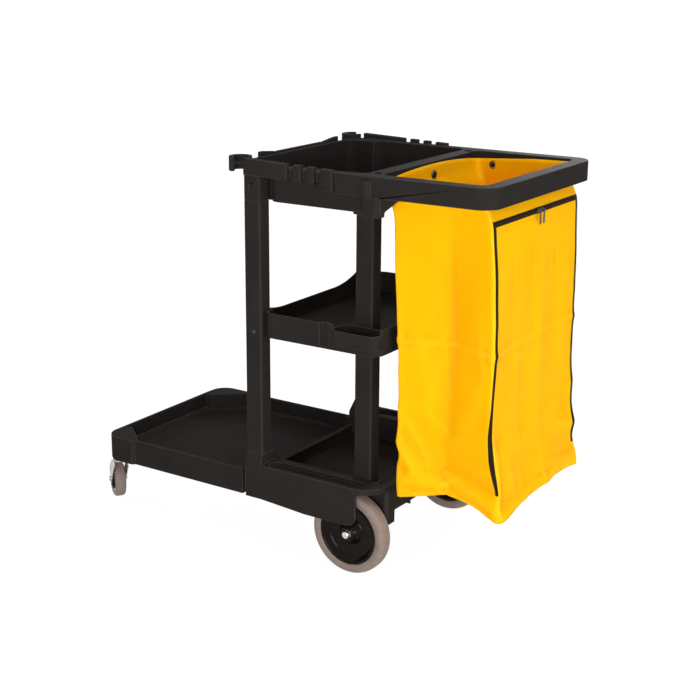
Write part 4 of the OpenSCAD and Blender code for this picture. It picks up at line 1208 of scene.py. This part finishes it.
class CART_OT_stage(bpy.types.Operator):
    """Lay the floor, hang the lights and place the camera"""

    bl_idname = "cart.stage"
    bl_label = "Stage"

    WHITE = (1, 1, 1, 1)
    FLOOR_REACH = 200.0
    FLOOR_GLOW = 1.07
    WORLD_FILL = 0.09
    AIM = Vector((0, 0, 0.5))
    # Each lamp's place, width and power
    LAMPS = {
        "key": ((1.7, -4.0, 1.0), 2.2, 140),
        "fill": ((4.2, -0.8, 0.9), 2.0, 74),
        "back": ((-0.5, 4.3, 1.2), 2.2, 210),
        "side": ((-4.2, 0.6, 1.2), 2.0, 80),
        "top": ((0.9, -0.4, 3.8), 2.2, 75),
    }

    def execute(self, context):
        self.floor()
        self.world(context.scene)
        self.lights()
        self.camera(context.scene)
        context.scene.view_settings.view_transform = "Standard"
        return {"FINISHED"}

    @staticmethod
    def seen_directly(graph):
        """1 for rays from the camera, or seen in gloss or through glass."""
        camera, gloss, glass = graph.outputs(
            "ShaderNodeLightPath", "Is Camera Ray", "Is Glossy Ray", "Is Transmission Ray")
        return (camera + gloss + glass).at_most(1.0)

    def floor(self):
        reach = self.FLOOR_REACH
        mesh = bpy.data.meshes.new("floor")
        mesh.from_pydata([(-reach, -reach, 0), (reach, -reach, 0), (reach, reach, 0), (-reach, reach, 0)], [],
                         [(0, 1, 2, 3)])
        material = bpy.data.materials.new("studio_floor")
        graph = Graph.of(material)
        colour = tuple(colours().floor)
        pale = graph.node("ShaderNodeBsdfDiffuse", {}, {
            "Color": graph.mix(graph.noise(0.8), tinted(colour, 0.98), colour)})
        glow = graph.node("ShaderNodeEmission", {}, {"Color": self.WHITE, "Strength": self.FLOOR_GLOW})
        away = graph.node("ShaderNodeVectorMath", {"operation": "LENGTH"}, {0: graph.place()}, out="Value")
        distant = graph.node("ShaderNodeMapRange", {}, {"Value": away, "From Min": 1.0, "From Max": 3.0},
                             out="Result")
        share = self.seen_directly(graph) * (0.90 + 0.10 * distant)
        both = graph.node("ShaderNodeMixShader", {}, {0: share, 1: pale, 2: glow})
        graph.node("ShaderNodeOutputMaterial", {}, {"Surface": both})
        new_piece("floor", mesh, material)

    def world(self, scene):
        scene.world = bpy.data.worlds.new("studio")
        graph = Graph.of(scene.world)
        fill, white = [graph.node("ShaderNodeBackground", {}, {"Color": self.WHITE, "Strength": strength})
                       for strength in (self.WORLD_FILL, 1.0)]
        both = graph.node("ShaderNodeMixShader", {}, {0: self.seen_directly(graph), 1: fill, 2: white})
        graph.node("ShaderNodeOutputWorld", {}, {"Surface": both})

    def lights(self):
        for name, (place, size, power) in self.LAMPS.items():
            lamp = bpy.data.lights.new(name, "AREA")
            lamp.energy = power
            lamp.size = size
            holder = linked(name, lamp)
            holder.location = place
            holder.rotation_euler = (self.AIM - Vector(place)).to_track_quat("-Z", "Y").to_euler()

    @staticmethod
    def camera(scene):
        lens = bpy.data.cameras.new("camera")
        lens.sensor_width = SENSOR
        lens.lens = CAMERA_FOCAL_PIXELS / PHOTO_PIXELS * SENSOR
        half = PHOTO_PIXELS / 2
        lens.shift_x = (half - CAMERA_MIDDLE_PIXEL[0]) / PHOTO_PIXELS
        lens.shift_y = (CAMERA_MIDDLE_PIXEL[1] - half) / PHOTO_PIXELS
        lens.clip_end = 1000
        holder = linked("camera", lens)
        holder.location = Vector(CAMERA_PLACE) + Vector((FRONT_LINE, 0, 0))
        holder.rotation_euler = (math.radians(90 - CAMERA_PITCH), 0, math.radians(CAMERA_YAW))
        scene.camera = holder


class CART_PT_panel(bpy.types.Panel):
    """Sidebar with the cart's operators, sizes and colours"""

    bl_idname = "CART_PT_panel"
    bl_label = "Janitor cart"
    bl_space_type = "VIEW_3D"
    bl_region_type = "UI"
    bl_category = "Cart"

    def draw(self, context):
        for operator in OPERATORS:
            self.layout.operator(operator.bl_idname)
        for group in (sizes(), colours()):
            for name in group.bl_rna.properties.keys():
                if name not in ("rna_type", "name"):
                    self.layout.prop(group, name)


OPERATORS = (CART_OT_stage, CART_OT_mouldings, CART_OT_metalwork, CART_OT_rear_wheels, CART_OT_caster_wheels,
             CART_OT_bag)
CLASSES = (CartSizes, CartColours, *OPERATORS, CART_PT_panel)


def register():
    for item in CLASSES:
        bpy.utils.register_class(item)
    bpy.types.Scene.cart_sizes = PointerProperty(type=CartSizes)
    bpy.types.Scene.cart_colours = PointerProperty(type=CartColours)


def unregister():
    del bpy.types.Scene.cart_colours
    del bpy.types.Scene.cart_sizes
    for item in reversed(CLASSES):
        bpy.utils.unregister_class(item)


def main():
    register()
    for operator in OPERATORS:
        group, name = operator.bl_idname.split(".")
        getattr(getattr(bpy.ops, group), name)()


if __name__ == "__main__":
    main()
